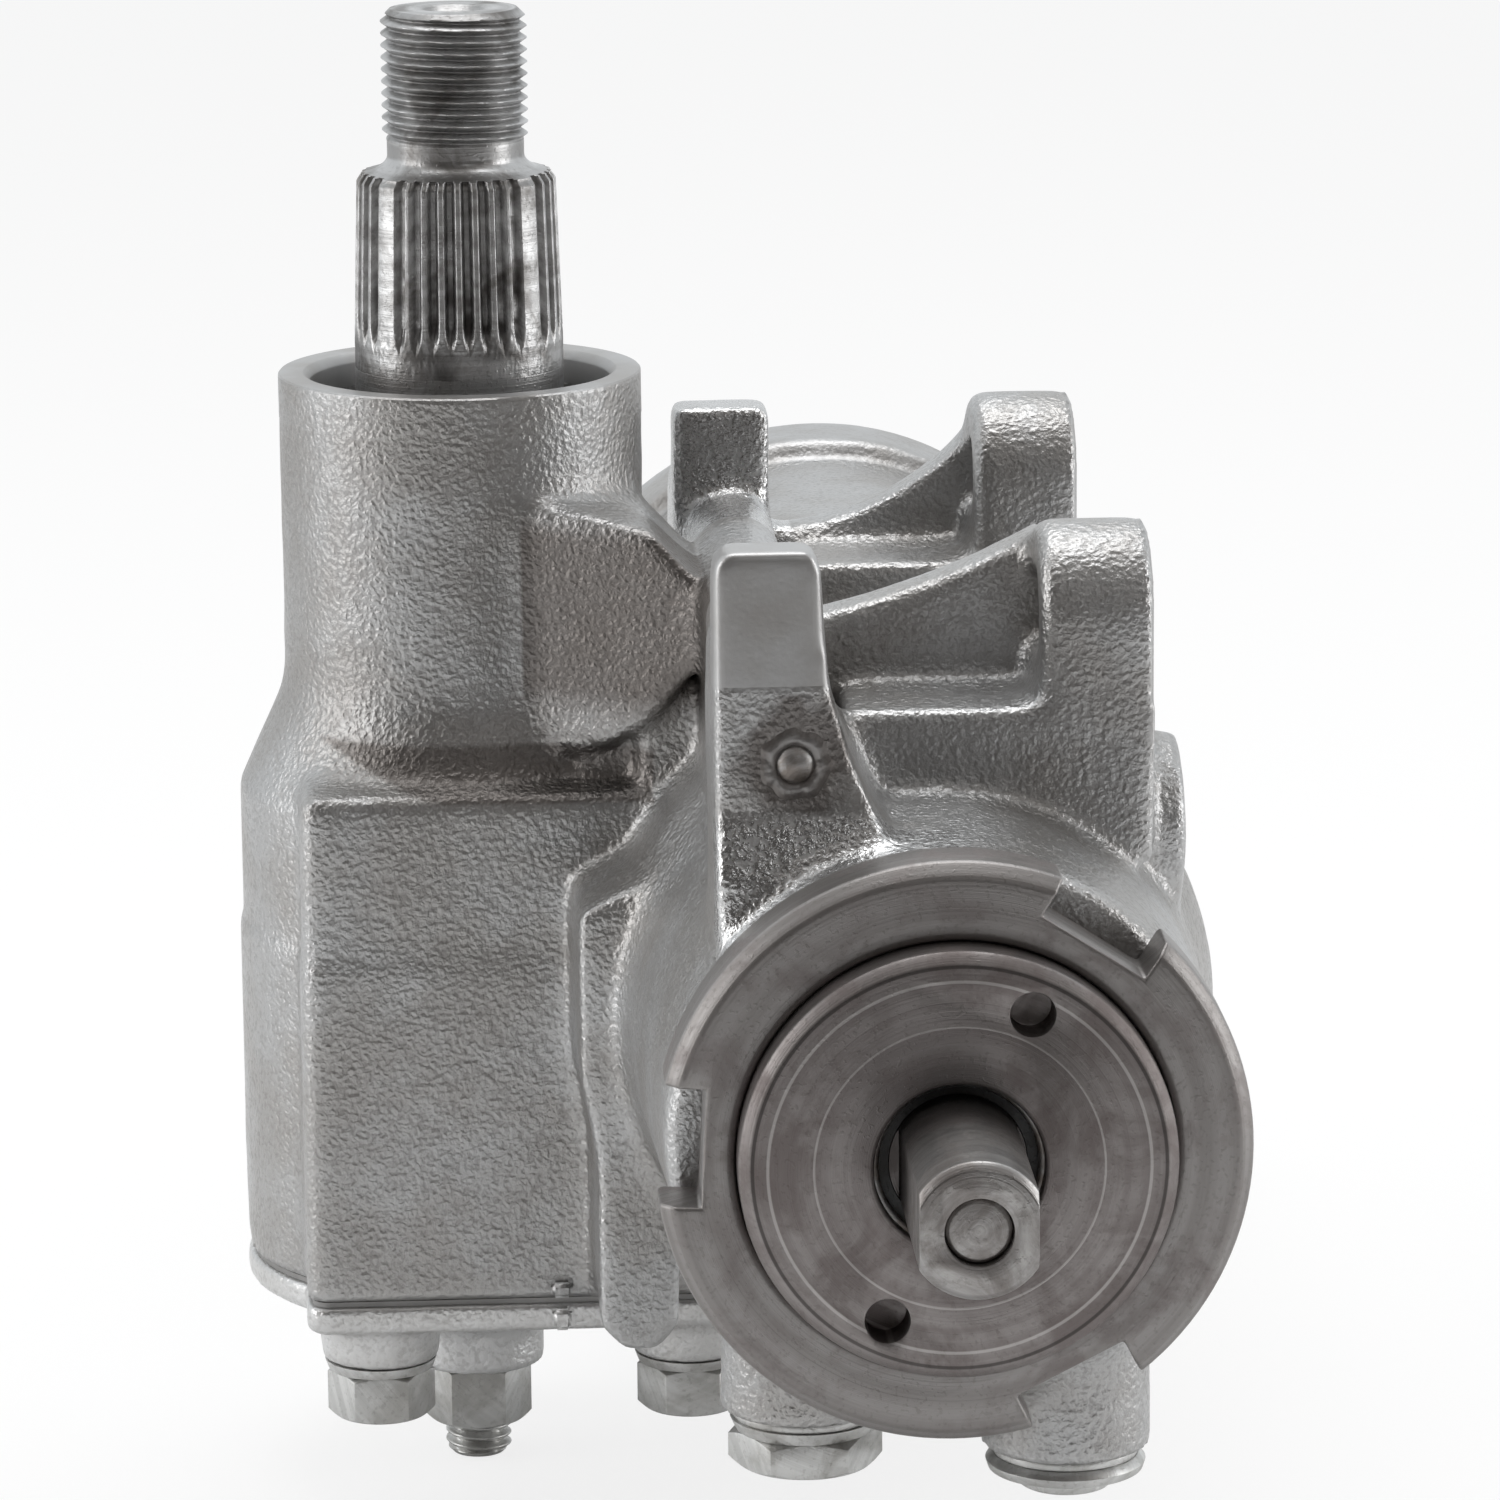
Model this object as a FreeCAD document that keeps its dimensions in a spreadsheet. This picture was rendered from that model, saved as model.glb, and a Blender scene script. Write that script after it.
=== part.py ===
import FreeCAD, Part
import Sketcher
import math
import os
import re

# Power steering gearbox with a recirculating ball worm, a rack piston and a sector shaft.
# Millimetres. +X points to the frame rail, +Y to the closed rear end, +Z along the sector
# shaft towards its thread. The origin is the middle of the two frame bolt holes, on the
# pad plane. Places in the code are told from the worm axis at the locknut's front face.

Vector = FreeCAD.Vector
doc = FreeCAD.newDocument("SteeringGearbox")
sheet = doc.addObject("Spreadsheet::Sheet", "Sizes")
ALIASES = set()
NODES = {}


# Place of the worm axis and the locknut face from the frame bolt pattern
pad_x = 32
bolt_mid_y = 110.5
bolt_height = 64.7
bolt_spacing = 108
bolt_hole_rad = 5.5
run_gap = 0.05
fit_gap = 0.1
wide_gap = 0.3

# Sector shaft axis from the worm axis and the locknut face
sector_x = 64.5
sector_y = 136

# Adjuster plug and its locknut
nut_rad = 41.2
nut_len = 11
nut_chamfer = 2
nut_notch_depth = 6.6
nut_notch_width = 16.7
nut_thread_rad = 30.2
plug_proud = 6
plug_len = 30
plug_thread_len = 24
plug_nose_rad = 27.2
plug_face_rad = 28.6
plug_bore_rad = 11.7
plug_bore_len = 13
plug_back_rad = 14
spanner_hole_rad = 3.1
spanner_hole_circle = 23.6
spanner_hole_depth = 6
plug_seal_wire = 1.5

# Input shaft with its seals and needle bearing
input_rad = 9.525
input_flats = 15.9
input_flat_len = 34
input_out = 30.5
input_journal_rad = 10.5
input_tail_rad = 9.2
input_chamfer = 1
input_bearing_len = 14
seal_len = 5
dust_seal_len = 2
ring_wire = 0.8
torsion_end_rad = 4.6
torsion_mid_rad = 3.1
torsion_end_len = 14
torsion_recess = 0.8

# Rotary valve
valve_rad = 25.3
valve_len = 42
valve_bore_rad = 14.2
valve_groove_depth = 2.2
valve_groove_width = 5
valve_ring_width = 2
valve_ring_depth = 1.8
valve_port_rad = 1.8
spool_wall = 4.7
spool_len = 24
spool_slot = 2.4
thrust_len = 4
drive_pin_rad = 1.5
drive_pin_len = 6

# Worm and its balls
worm_rad = 11.2
worm_head_rad = 19.5
worm_head_len = 4
worm_neck_rad = 10
worm_spigot_len = 12
worm_lead = 13
worm_thread_start = 118
worm_turns = 7
worm_end = 212
ball_rad = 3
ball_circle_rad = 12.6
ball_turns = 2
ball_count = 12

# Rack piston
piston_rad = 37.9
piston_front = 104
piston_len = 140
piston_bore_rad = 13.7
piston_mouth_rad = 17
piston_mouth_len = 30
piston_plug_rad = 17
piston_plug_len = 10
piston_ring_width = 3
piston_ring_depth = 2.4
guide_depth = 11.9
guide_wire_rad = 3.6
rack_root_x = 28.8

# Sector and rack teeth
pitch_rad = 30.5
teeth_round = 13
tooth_tip = 4.4
tooth_root = 5
tooth_backlash = 0.25
sector_half_height = 21.5
sector_hub_rad = 19.5

# Sector shaft
shaft_rad = 15.875
trunnion_rad = 15.9
shaft_low = 51
shaft_top = 142.9
thread_rad = 11.1
thread_len = 20
thread_chamfer = 1.6
neck_rad = 10.4
neck_len = 5.2
spline_top_rad = 15.1
spline_low_rad = 15.9
spline_len = 25
spline_count = 36
spline_depth = 1.15
centre_bore_rad = 4.6
centre_bore_len = 5

# Sector tube with its bearing, seals and ring
tube_rad = 27.7
tube_top = 87.7
tube_bore_rad = 22.8
tube_bore_chamfer = 0.8
seal_floor = 64
bearing_floor = 38
sector_bearing_rad = 20.6
sector_bearing_len = 24
sector_seal_len = 7
sector_washer_len = 1.5
sector_dust_len = 4
sector_ring_len = 1.6
sector_ring_depth = 1.3

# Sector case, side cover and bolts
case_rad = 35
case_shoulder_low = 24
case_shoulder_high = 40
case_ledge = 29
case_ledge_chamfer = 1.2
case_corner_rad = 3
cover_plane = 49.5
cover_bolt_mid_x = 55.8
cover_bolt_half_x = 23.8
cover_bolt_half_y = 26
cover_boss_rad = 10.5
case_step = 0.5
case_step_height = 2.3
hub_well_rad = 22.5
sweep_rad = 35.7
insert_half_width = 22.3
sweep_half_width = 33
sweep_half_height = 23
seal_thick = 0.8
seal_inset = 0.4
cover_thick = 4.4
cover_pad_rad = 8.8
cover_pad_len = 6.4
cover_hub_rad = 21.6
cover_hub_len = 24
cover_floor = 52.8
cover_dome_rad = 19
cover_spout_rad = 10.5
cover_spout_low = 70
cover_bolt_rad = 4.3
cover_bolt_grip = 22
cover_bolt_af = 14.3
cover_bolt_head = 7.4
cover_bolt_flange_rad = 8.6
cover_bolt_flange = 1.6
lash_rad = 5.15
lash_end = 85.3
lash_head_rad = 7
lash_head_len = 3
lash_lip = 2.5
cover_floor_rad = 18.3
lash_nut_af = 14.6
lash_nut_len = 9.6

# Barrel, valve case and rear end
barrel_rad = 45.5
barrel_front = 84
barrel_shoulder = 16
barrel_end = 304
rim_rad = 49.5
rim_len = 20
rim_chamfer = 1.5
valve_case_rad = 39.5
valve_case_back_rad = 42
piston_clearance = 0.1
bulkhead_len = 4
bulkhead_bore_rad = 14
end_plug_len = 20
end_plug_recess = 10
end_plug_rad = 39.6
end_ring_len = 2.4
end_ring_depth = 1.8

# Ears, saddle and ribs
ear_rad = 13
ear_left_x = 31.7
ear_left_wide = 15
ear_left_top = 80.7
ear_left_foot = 15
ear_fillet = 1.5
milled_low = 62
foot_turn_x = 12.5
foot_turn_height = 51
foot_end_x = 4
foot_end_height = 32
ear_right_wide = 16
front_left_y = 33
rear_left_y = 157.5
ear_foot = 30
web_thick = 9
web_back = 4.5
web_middle = 0.45
front_web_left = 62.8
front_web_middle = 66.7
front_web_right = 75.6
rear_web_left = 55.5
rear_web_middle = 58
rear_web_right = 72.5
shelf_left_x = 12
shelf_height = 53
ridge_x = 23
ridge_rad = 7
ridge_height = 59
gusset_thick = 30
gusset_start = 8
gusset_end_x = 28
gusset_low = 33
gusset_high = 70
gusset_slope = 0.6
rib_wide = 11.6
rib_drop = 1.4
rib_x = 41
rib_front = 76
side_pad_x = 37.8
side_pad_rad = 13
side_pad_height = 31
side_pad_y = 66
oil_ball_rad = 3.4
oil_ball_height = 50.9
oil_ball_x = 20.5

# Ports under the valve case
port_y = 25
port_left_x = 19.5
port_right_x = 17.5
port_left_low = 43
port_right_low = 49.5
port_boss_rad = 12
port_bore_rad = 7.9
port_depth = 14
port_seat_rad = 5.4
port_seat_bore = 2.6
port_washer = 1.2
port_flange_rad = 10.7
port_hex_af = 19
port_hex_len = 5.2
cap_flange_rad = 11.4
cap_flange_len = 2.6
cap_hex_af = 12.7
cap_hex_len = 2.2
cap_slot = 1.6


def size(alias, length):
    # Records one named size of the gearbox.
    row = len(ALIASES) + 1
    sheet.set("A%d" % row, alias)
    sheet.set("B%d" % row, str(length))
    sheet.setAlias("B%d" % row, alias)
    ALIASES.add(alias)


for alias, number in list(globals().items()):
    if isinstance(number, (int, float)):
        size(alias, number)
doc.recompute()


def cells(text):
    # Expressions read the named sizes.
    def prefix(found):
        word = found.group(0)
        return "Sizes." + word if word in ALIASES else word
    return re.sub(r"[a-z][a-z_]*[a-z]", prefix, str(text))


def value(text):
    return float(sheet.evalExpression(cells(text)))


# Places of the gear's own datum in the part's frame
WORM_AXIS = ("-pad_x", "-bolt_mid_y", "-bolt_height")
TURNS = {
    "+Z": FreeCAD.Rotation(),
    "-Z": FreeCAD.Rotation(Vector(1, 0, 0), 180),
    "+Y": FreeCAD.Rotation(Vector(1, 0, 0), -90),
    "-Y": FreeCAD.Rotation(Vector(1, 0, 0), 90),
    "+X": FreeCAD.Rotation(Vector(0, 1, 0), 90),
    "-X": FreeCAD.Rotation(Vector(0, 1, 0), -90),
}


def place(thing, at, along="+Z"):
    thing.Placement = FreeCAD.Placement(Vector(0, 0, 0), TURNS[along])
    for axis, offset, told in zip("xyz", WORM_AXIS, at):
        thing.setExpression("Placement.Base." + axis, cells("%s + (%s)" % (offset, told)))
    return thing


def datum():
    return Vector(*[value(offset) for offset in WORM_AXIS])


def turned(name, profile, at, along="+Z"):
    # A body turned from a closed outline of (radius, length) corners about its own axis.
    body = doc.addObject("PartDesign::Body", name)
    sketch = body.newObject("Sketcher::SketchObject", name + "_outline")
    plane = [part for part in body.Origin.OriginFeatures if part.Role == "XZ_Plane"][0]
    sketch.AttachmentSupport = [(plane, "")]
    sketch.MapMode = "FlatFace"
    corners = [Vector(value(radius), value(length), 0) for radius, length in profile]
    count = len(corners)
    for index in range(count):
        sketch.addGeometry(Part.LineSegment(corners[index], corners[(index + 1) % count]), False)
    for index in range(count):
        sketch.addConstraint(Sketcher.Constraint("Coincident", index, 2, (index + 1) % count, 1))
    for index, (radius, length) in enumerate(profile):
        for kind, told, axis in (("DistanceX", radius, -2), ("DistanceY", length, -1)):
            if told == "0":
                sketch.addConstraint(Sketcher.Constraint("PointOnObject", index, 1, axis))
                continue
            rule = Sketcher.Constraint(kind, -1, 1, index, 1, value(told))
            number = sketch.addConstraint(rule)
            sketch.setExpression("Constraints[%d]" % number, cells(told))
    spin = body.newObject("PartDesign::Revolution", name + "_turn")
    spin.Profile = sketch
    spin.ReferenceAxis = (sketch, ["V_Axis"])
    spin.Angle = 360
    body.Tip = spin
    return place(body, at, along)


def tube(name, inner, outer, start, end, at, along="+Z"):
    return turned(name, [(inner, start), (outer, start), (outer, end), (inner, end)], at, along)


def cylinder(name, radius, length, at, along="+Z"):
    thing = doc.addObject("Part::Cylinder", name)
    thing.setExpression("Radius", cells(radius))
    thing.setExpression("Height", cells(length))
    return place(thing, at, along)


def cone(name, low, high, length, at, along="+Z"):
    thing = doc.addObject("Part::Cone", name)
    thing.setExpression("Radius1", cells(low))
    thing.setExpression("Radius2", cells(high))
    thing.setExpression("Height", cells(length))
    return place(thing, at, along)


def box(name, sides, at):
    # A block whose place is its corner of lowest X, Y and Z.
    thing = doc.addObject("Part::Box", name)
    for side, told in zip(("Length", "Width", "Height"), sides):
        thing.setExpression(side, cells(told))
    return place(thing, at)


def hexagon(name, across, length, at, along="+Z"):
    thing = doc.addObject("Part::Prism", name)
    thing.Polygon = 6
    thing.setExpression("Circumradius", cells("(%s) / sqrt(3)" % across))
    thing.setExpression("Height", cells(length))
    return place(thing, at, along)


def torus(name, ring, wire, at, along="+Z"):
    thing = doc.addObject("Part::Torus", name)
    thing.setExpression("Radius1", cells(ring))
    thing.setExpression("Radius2", cells(wire))
    return place(thing, at, along)


def fuse(name, things):
    joined = doc.addObject("Part::MultiFuse", name)
    joined.Shapes = things
    return joined


def cut(name, base, tools):
    taken = doc.addObject("Part::Cut", name)
    taken.Base = base
    taken.Tool = tools[0] if len(tools) == 1 else fuse(name + "_tools", tools)
    return taken


def common(name, first, second):
    kept = doc.addObject("Part::Common", name)
    kept.Base = first
    kept.Tool = second
    return kept


def group(name, things):
    # Equal pieces that share one node and stay separate solids.
    bundle = doc.addObject("Part::Compound", name)
    bundle.Links = things
    return bundle


def shaped(name, shape):
    # A form made by Part's own functions, told from the worm axis.
    thing = doc.addObject("Part::Feature", name)
    own = shape.Placement
    thing.Shape = shape
    thing.Placement = FreeCAD.Placement(datum(), FreeCAD.Rotation()).multiply(own)
    return thing


def keep(node, thing):
    thing.Label = node
    NODES[node] = thing
    return thing


def outline_round(circles, height):
    # The outline that a belt takes round circles told counterclockwise, at one height.
    touches = []
    count = len(circles)
    for index in range(count):
        x1, y1, r1 = circles[index]
        x2, y2, r2 = circles[(index + 1) % count]
        reach = math.hypot(x2 - x1, y2 - y1)
        lean = math.atan2(y2 - y1, x2 - x1) - math.acos((r1 - r2) / reach)
        touches.append(lean)
    edges = []
    for index in range(count):
        x, y, r = circles[index]
        start = touches[index - 1]
        sweep = (touches[index] - start) % (2 * math.pi)
        nodes = []
        for part in (0, 0.5, 1):
            angle = start + sweep * part
            nodes.append(Vector(x + r * math.cos(angle), y + r * math.sin(angle), height))
        edges.append(Part.Arc(*nodes).toShape())
        nx, ny, nr = circles[(index + 1) % count]
        leave = touches[index]
        far = Vector(nx + nr * math.cos(leave), ny + nr * math.sin(leave), height)
        edges.append(Part.LineSegment(nodes[2], far).toShape())
    return Part.Wire(Part.__sortEdges__(edges))


def slab(wire, low, high):
    wire.translate(Vector(0, 0, low - wire.BoundBox.ZMin))
    return Part.Face(wire).extrude(Vector(0, 0, high - low))


def profile_solid(corners, push):
    # A flat outline of corners, or of (middle, end) pairs for arcs, pushed along a vector.
    edges = []
    last = corners[0]
    for corner in corners[1:] + [corners[0]]:
        if isinstance(corner, tuple):
            edges.append(Part.Arc(last, corner[0], corner[1]).toShape())
            last = corner[1]
        elif (corner - last).Length > 1e-6:
            edges.append(Part.LineSegment(last, corner).toShape())
            last = corner
    return Part.Face(Part.Wire(edges)).extrude(push)


# Stations along the worm axis, told as expressions
PLUG_BACK = "(plug_len - plug_proud)"
VALVE_FRONT = "(plug_len - plug_proud + thrust_len)"
VALVE_BACK = "(plug_len - plug_proud + thrust_len + valve_len)"
HEAD_BACK = "(plug_len - plug_proud + thrust_len + valve_len + worm_head_len)"
BULKHEAD = "(plug_len - plug_proud + 2 * thrust_len + valve_len + worm_head_len)"
PISTON_ROOM = "(plug_len - plug_proud + 2 * thrust_len + valve_len + worm_head_len + bulkhead_len)"
TIP = "(-plug_proud - input_out)"
END_PLUG_FRONT = "(barrel_end - end_plug_recess - end_plug_len)"
AXIS = ("0", "0", "0")
SECTOR = ("-sector_x", "sector_y", "0")


def station(told):
    return ("0", told, "0")


def on_sector(height):
    return ("-sector_x", "sector_y", height)


COVER_BOLTS = [(side_x, side_y) for side_x in (-1, 1) for side_y in (-1, 1)]


def cover_bolt_place(side, height):
    x = "-cover_bolt_mid_x + (%d) * cover_bolt_half_x" % side[0]
    y = "sector_y + (%d) * cover_bolt_half_y" % side[1]
    return (x, y, height)


def cover_circles(grow):
    # Three bosses and the square front left corner, counterclockwise seen from above.
    mid_x = value("-cover_bolt_mid_x")
    half_x = value("cover_bolt_half_x")
    half_y = value("cover_bolt_half_y")
    y = value("sector_y")
    boss = value("cover_boss_rad") + grow
    corner = value("case_corner_rad")
    inset = value("cover_boss_rad") - corner
    return [
        (mid_x + half_x, y - half_y, boss),
        (mid_x + half_x, y + half_y, boss),
        (mid_x - half_x, y + half_y, boss),
        (mid_x - half_x - inset, y - half_y - inset, corner + grow),
    ]


def make_barrel():
    # The turned part of the casting: valve case, shoulder, barrel and thicker rear rim.
    front = "nut_len"
    profile = [
        ("0", front), ("valve_case_rad - 1.5", front), ("valve_case_rad", "nut_len + 1.5"),
        ("valve_case_back_rad", "barrel_front - barrel_shoulder"),
        ("barrel_rad", "barrel_front"), ("barrel_rad", "barrel_end - rim_len"),
        ("rim_rad", "barrel_end - rim_len + 1"), ("rim_rad", "barrel_end - rim_chamfer"),
        ("rim_rad - rim_chamfer", "barrel_end"), ("0", "barrel_end"),
    ]
    return turned("barrel_casting", profile, AXIS, "+Y")


def make_sector_case():
    # The case round the sector, with the four cover bosses, a step at the parting line,
    # a sloped shoulder and the long tube for the shaft.
    step = value("case_step")
    height = value("case_step_height")
    low = -value("cover_plane")
    ledge = value("case_ledge")
    lower = case_slab(step, low, height)
    upper = slab(outline_round(cover_circles(0), 0), height, ledge)
    upper = upper.makeChamfer(value("case_ledge_chamfer"), top_edges(upper))
    case = shaped("case_prism", lower.fuse(upper).removeSplitter())
    shoulder = [
        ("0", "0"), ("case_rad", "0"), ("case_rad", "case_shoulder_low"),
        ("tube_rad", "case_shoulder_high"), ("tube_rad", "tube_top"), ("0", "tube_top"),
    ]
    return [case, turned("case_shoulder", shoulder, SECTOR)]


def case_slab(grow, low, high):
    # A layer of the case: the block with its four bosses, joined to the round sector wall.
    block = slab(outline_round(cover_circles(grow), 0), low, high)
    centre = Vector(value("-sector_x"), value("sector_y"), low)
    wall = Part.makeCylinder(value("case_rad") + grow, high - low, centre)
    return block.fuse(wall).removeSplitter()


def top_edges(shape):
    highest = shape.BoundBox.ZMax
    return [edge for edge in shape.Edges if edge.BoundBox.ZMin > highest - 0.001]


def right_ear(name, x_low, x_high, y):
    # A right-hand bolt ear: round over its bolt, with straight cheeks down into the casting.
    rad = value("ear_rad")
    centre = value("bolt_height")
    foot = value("ear_foot")
    corners = [
        Vector(x_low, y - rad, foot), Vector(x_low, y - rad, centre),
        (Vector(x_low, y, centre + rad), Vector(x_low, y + rad, centre)),
        Vector(x_low, y + rad, foot),
    ]
    solid = profile_solid(corners, Vector(x_high - x_low, 0, 0))
    return shaped(name, solid.makeFillet(value("ear_fillet"), flat_rims(solid)))


def flat_rims(shape):
    # The rim edges of both flat faces of an ear, above its foot.
    found = []
    for edge in shape.Edges:
        limits = edge.BoundBox
        flat = abs(limits.XMax - limits.XMin) < 0.001
        if flat and limits.ZMax - limits.ZMin > 1:
            found.append(edge)
    return found


def make_front_left_ear():
    # The front left ear is square, with a milled front face and a foot that widens to the right.
    front = value("front_left_y - ear_rad")
    left = -value("ear_left_x")
    right = left + value("ear_left_wide")
    top = value("ear_left_top")
    low = value("ear_left_foot")
    corners = [
        Vector(left, front, low), Vector(left, front, top - 2), Vector(left + 1.5, front, top),
        Vector(right - 1.2, front, top), Vector(right, front, top - 2),
        Vector(right + 1, front, value("milled_low")),
        Vector(value("-foot_turn_x"), front, value("foot_turn_height")),
        Vector(value("-foot_end_x"), front, value("foot_end_height")),
        Vector(value("-foot_end_x"), front, low),
    ]
    post = profile_solid(corners, Vector(0, value("2 * ear_rad"), 0))
    return shaped("front_left_ear", post)


def make_rear_left_ear():
    # The rear left ear is square too, and stands on the oil ridge.
    front = value("rear_left_y - ear_rad")
    left = -value("ear_left_x")
    right = left + value("ear_left_wide")
    top = value("ear_left_top")
    low = value("ear_foot")
    corners = [
        Vector(left, front, low), Vector(left, front, top - 2), Vector(left + 1.5, front, top),
        Vector(right - 1.2, front, top), Vector(right, front, top - 2), Vector(right, front, low),
    ]
    return shaped("rear_left_ear", profile_solid(corners, Vector(0, value("2 * ear_rad"), 0)))


def web(name, y, x_low, x_high, tops, floor):
    # A saddle web: a wall across the box with a hollow curved top, given at both ends and between.
    middle = Vector(x_low + (x_high - x_low) * value("web_middle"), y, tops[1])
    corners = [
        Vector(x_low, y, floor), Vector(x_low, y, tops[0]),
        (middle, Vector(x_high, y, tops[2])), Vector(x_high, y, floor),
    ]
    return shaped(name, profile_solid(corners, Vector(0, value("web_thick"), 0)))


def make_ears():
    pad = value("pad_x")
    wide = value("ear_right_wide")
    left = -value("ear_left_x")
    left_high = left + value("ear_left_wide")
    foot = value("ear_foot")
    front = value("bolt_mid_y - bolt_spacing / 2")
    rear = value("bolt_mid_y + bolt_spacing / 2")
    back = value("web_back")
    front_tops = [value("front_web_left"), value("front_web_middle"), value("front_web_right")]
    rear_tops = [value("rear_web_left"), value("rear_web_middle"), value("rear_web_right")]
    made = [
        make_front_left_ear(),
        make_rear_left_ear(),
        right_ear("front_right_ear", pad - wide, pad, front),
        right_ear("rear_right_ear", pad - wide, pad, rear),
        web("front_web", front + back, left_high - 2, pad - wide + 2, front_tops, foot),
        web("rear_web", rear + back, left_high - 2, pad - wide + 2, rear_tops, foot),
    ]
    return made


def make_saddle():
    # The shelves in front of the webs, the oil ridge and the wall between the left ears.
    shelf_wide = "pad_x + shelf_left_x"
    shelf_deep = "ear_rad + web_back + 1"
    shelf_high = "shelf_height - ear_foot"
    shelves = []
    for name, half in (("front_shelf", "- bolt_spacing / 2"), ("rear_shelf", "+ bolt_spacing / 2")):
        corner = ("-shelf_left_x", "bolt_mid_y %s - ear_rad" % half, "ear_foot")
        shelves.append(box(name, (shelf_wide, shelf_deep, shelf_high), corner))
    ridge_len = "rear_left_y - front_left_y + 24"
    ridge = cylinder(
        "oil_ridge", "ridge_rad", ridge_len, ("-ridge_x", "front_left_y - 4", "ridge_height"), "+Y"
    )
    ridge_wall = box(
        "ridge_wall", ("2 * ridge_rad - 1", ridge_len, "30"),
        ("-ridge_x - ridge_rad + 0.5", "front_left_y - 4", "ridge_height - 31")
    )
    return shelves + [ridge, ridge_wall]


def make_gusset():
    # The flat gusset from the sector tube to the oil ridge, with a cut-away lower corner.
    x = value("-sector_x")
    left = x + value("gusset_start")
    right = -value("gusset_end_x")
    near = value("sector_y - tube_rad") + 1.5
    low = value("gusset_low")
    slope = value("gusset_slope")

    def corner(at_x, height):
        return Vector(at_x, near - slope * (at_x - left), height)

    corners = [
        corner(left, low), corner(right - 16, low + 2.5), corner(right - 9, low + 7.5),
        corner(right - 2, low + 16), corner(right, value("gusset_high") - 10),
        corner(right - 9, value("gusset_high") - 1), corner(left, value("gusset_high") + 2),
    ]
    face = Part.Face(Part.makePolygon(corners + [corners[0]]))
    return shaped("gusset", face.extrude(Vector(0, value("gusset_thick"), 0)))


def make_rib():
    # The shoulder rib in front of the right cover boss: broad and cut off aslant at its top,
    # narrow below, with a rounded foot that hangs just below the cover joint.
    x = -value("rib_x")
    y = value("rib_front")
    foot = -value("cover_plane") - value("rib_drop")
    wide = value("rib_wide")
    outline = [
        (x - wide / 2 - 2.5, 16), (x - wide / 2 - 2.5, -8), (x - wide / 2, -22), (x - wide / 2, foot + 4),
        (x - wide / 2 + 4, foot), (x + wide / 2 - 3, foot), (x + wide / 2, foot + 3.5),
        (x + wide / 2 + 1, -20), (x + 12, 0), (x + 20, 20), (x + 20, 36), (x + 14, 36),
        (x + 9, 26.5), (x + 2, 21.4), (x - 4, 18.5),
    ]
    corners = [Vector(at_x, y, height) for at_x, height in outline]
    depth = value("sector_y - cover_bolt_half_y - cover_boss_rad") - value("case_step") - 0.1 - y
    rib = profile_solid(corners, Vector(0, depth, 0))
    root_low = -value("cover_plane") + 0.02
    root = Part.makeBox(wide, 14, 16 - root_low, Vector(x - wide / 2, y + depth - 1, root_low))
    return shaped("case_rib", rib.fuse(root).removeSplitter())


def make_port_bosses():
    left = cylinder(
        "port_boss_left", "port_boss_rad", "port_left_low - 20",
        ("-port_left_x", "port_y", "-port_left_low")
    )
    right = cylinder(
        "port_boss_right", "port_boss_rad", "port_right_low - 20",
        ("port_right_x", "port_y", "-port_right_low")
    )
    bridge = box(
        "port_bridge", ("port_left_x + port_right_x", "18", "22"),
        ("-port_left_x", "port_y - 9", "-port_left_low + 1")
    )
    return [left, right, bridge]


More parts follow.
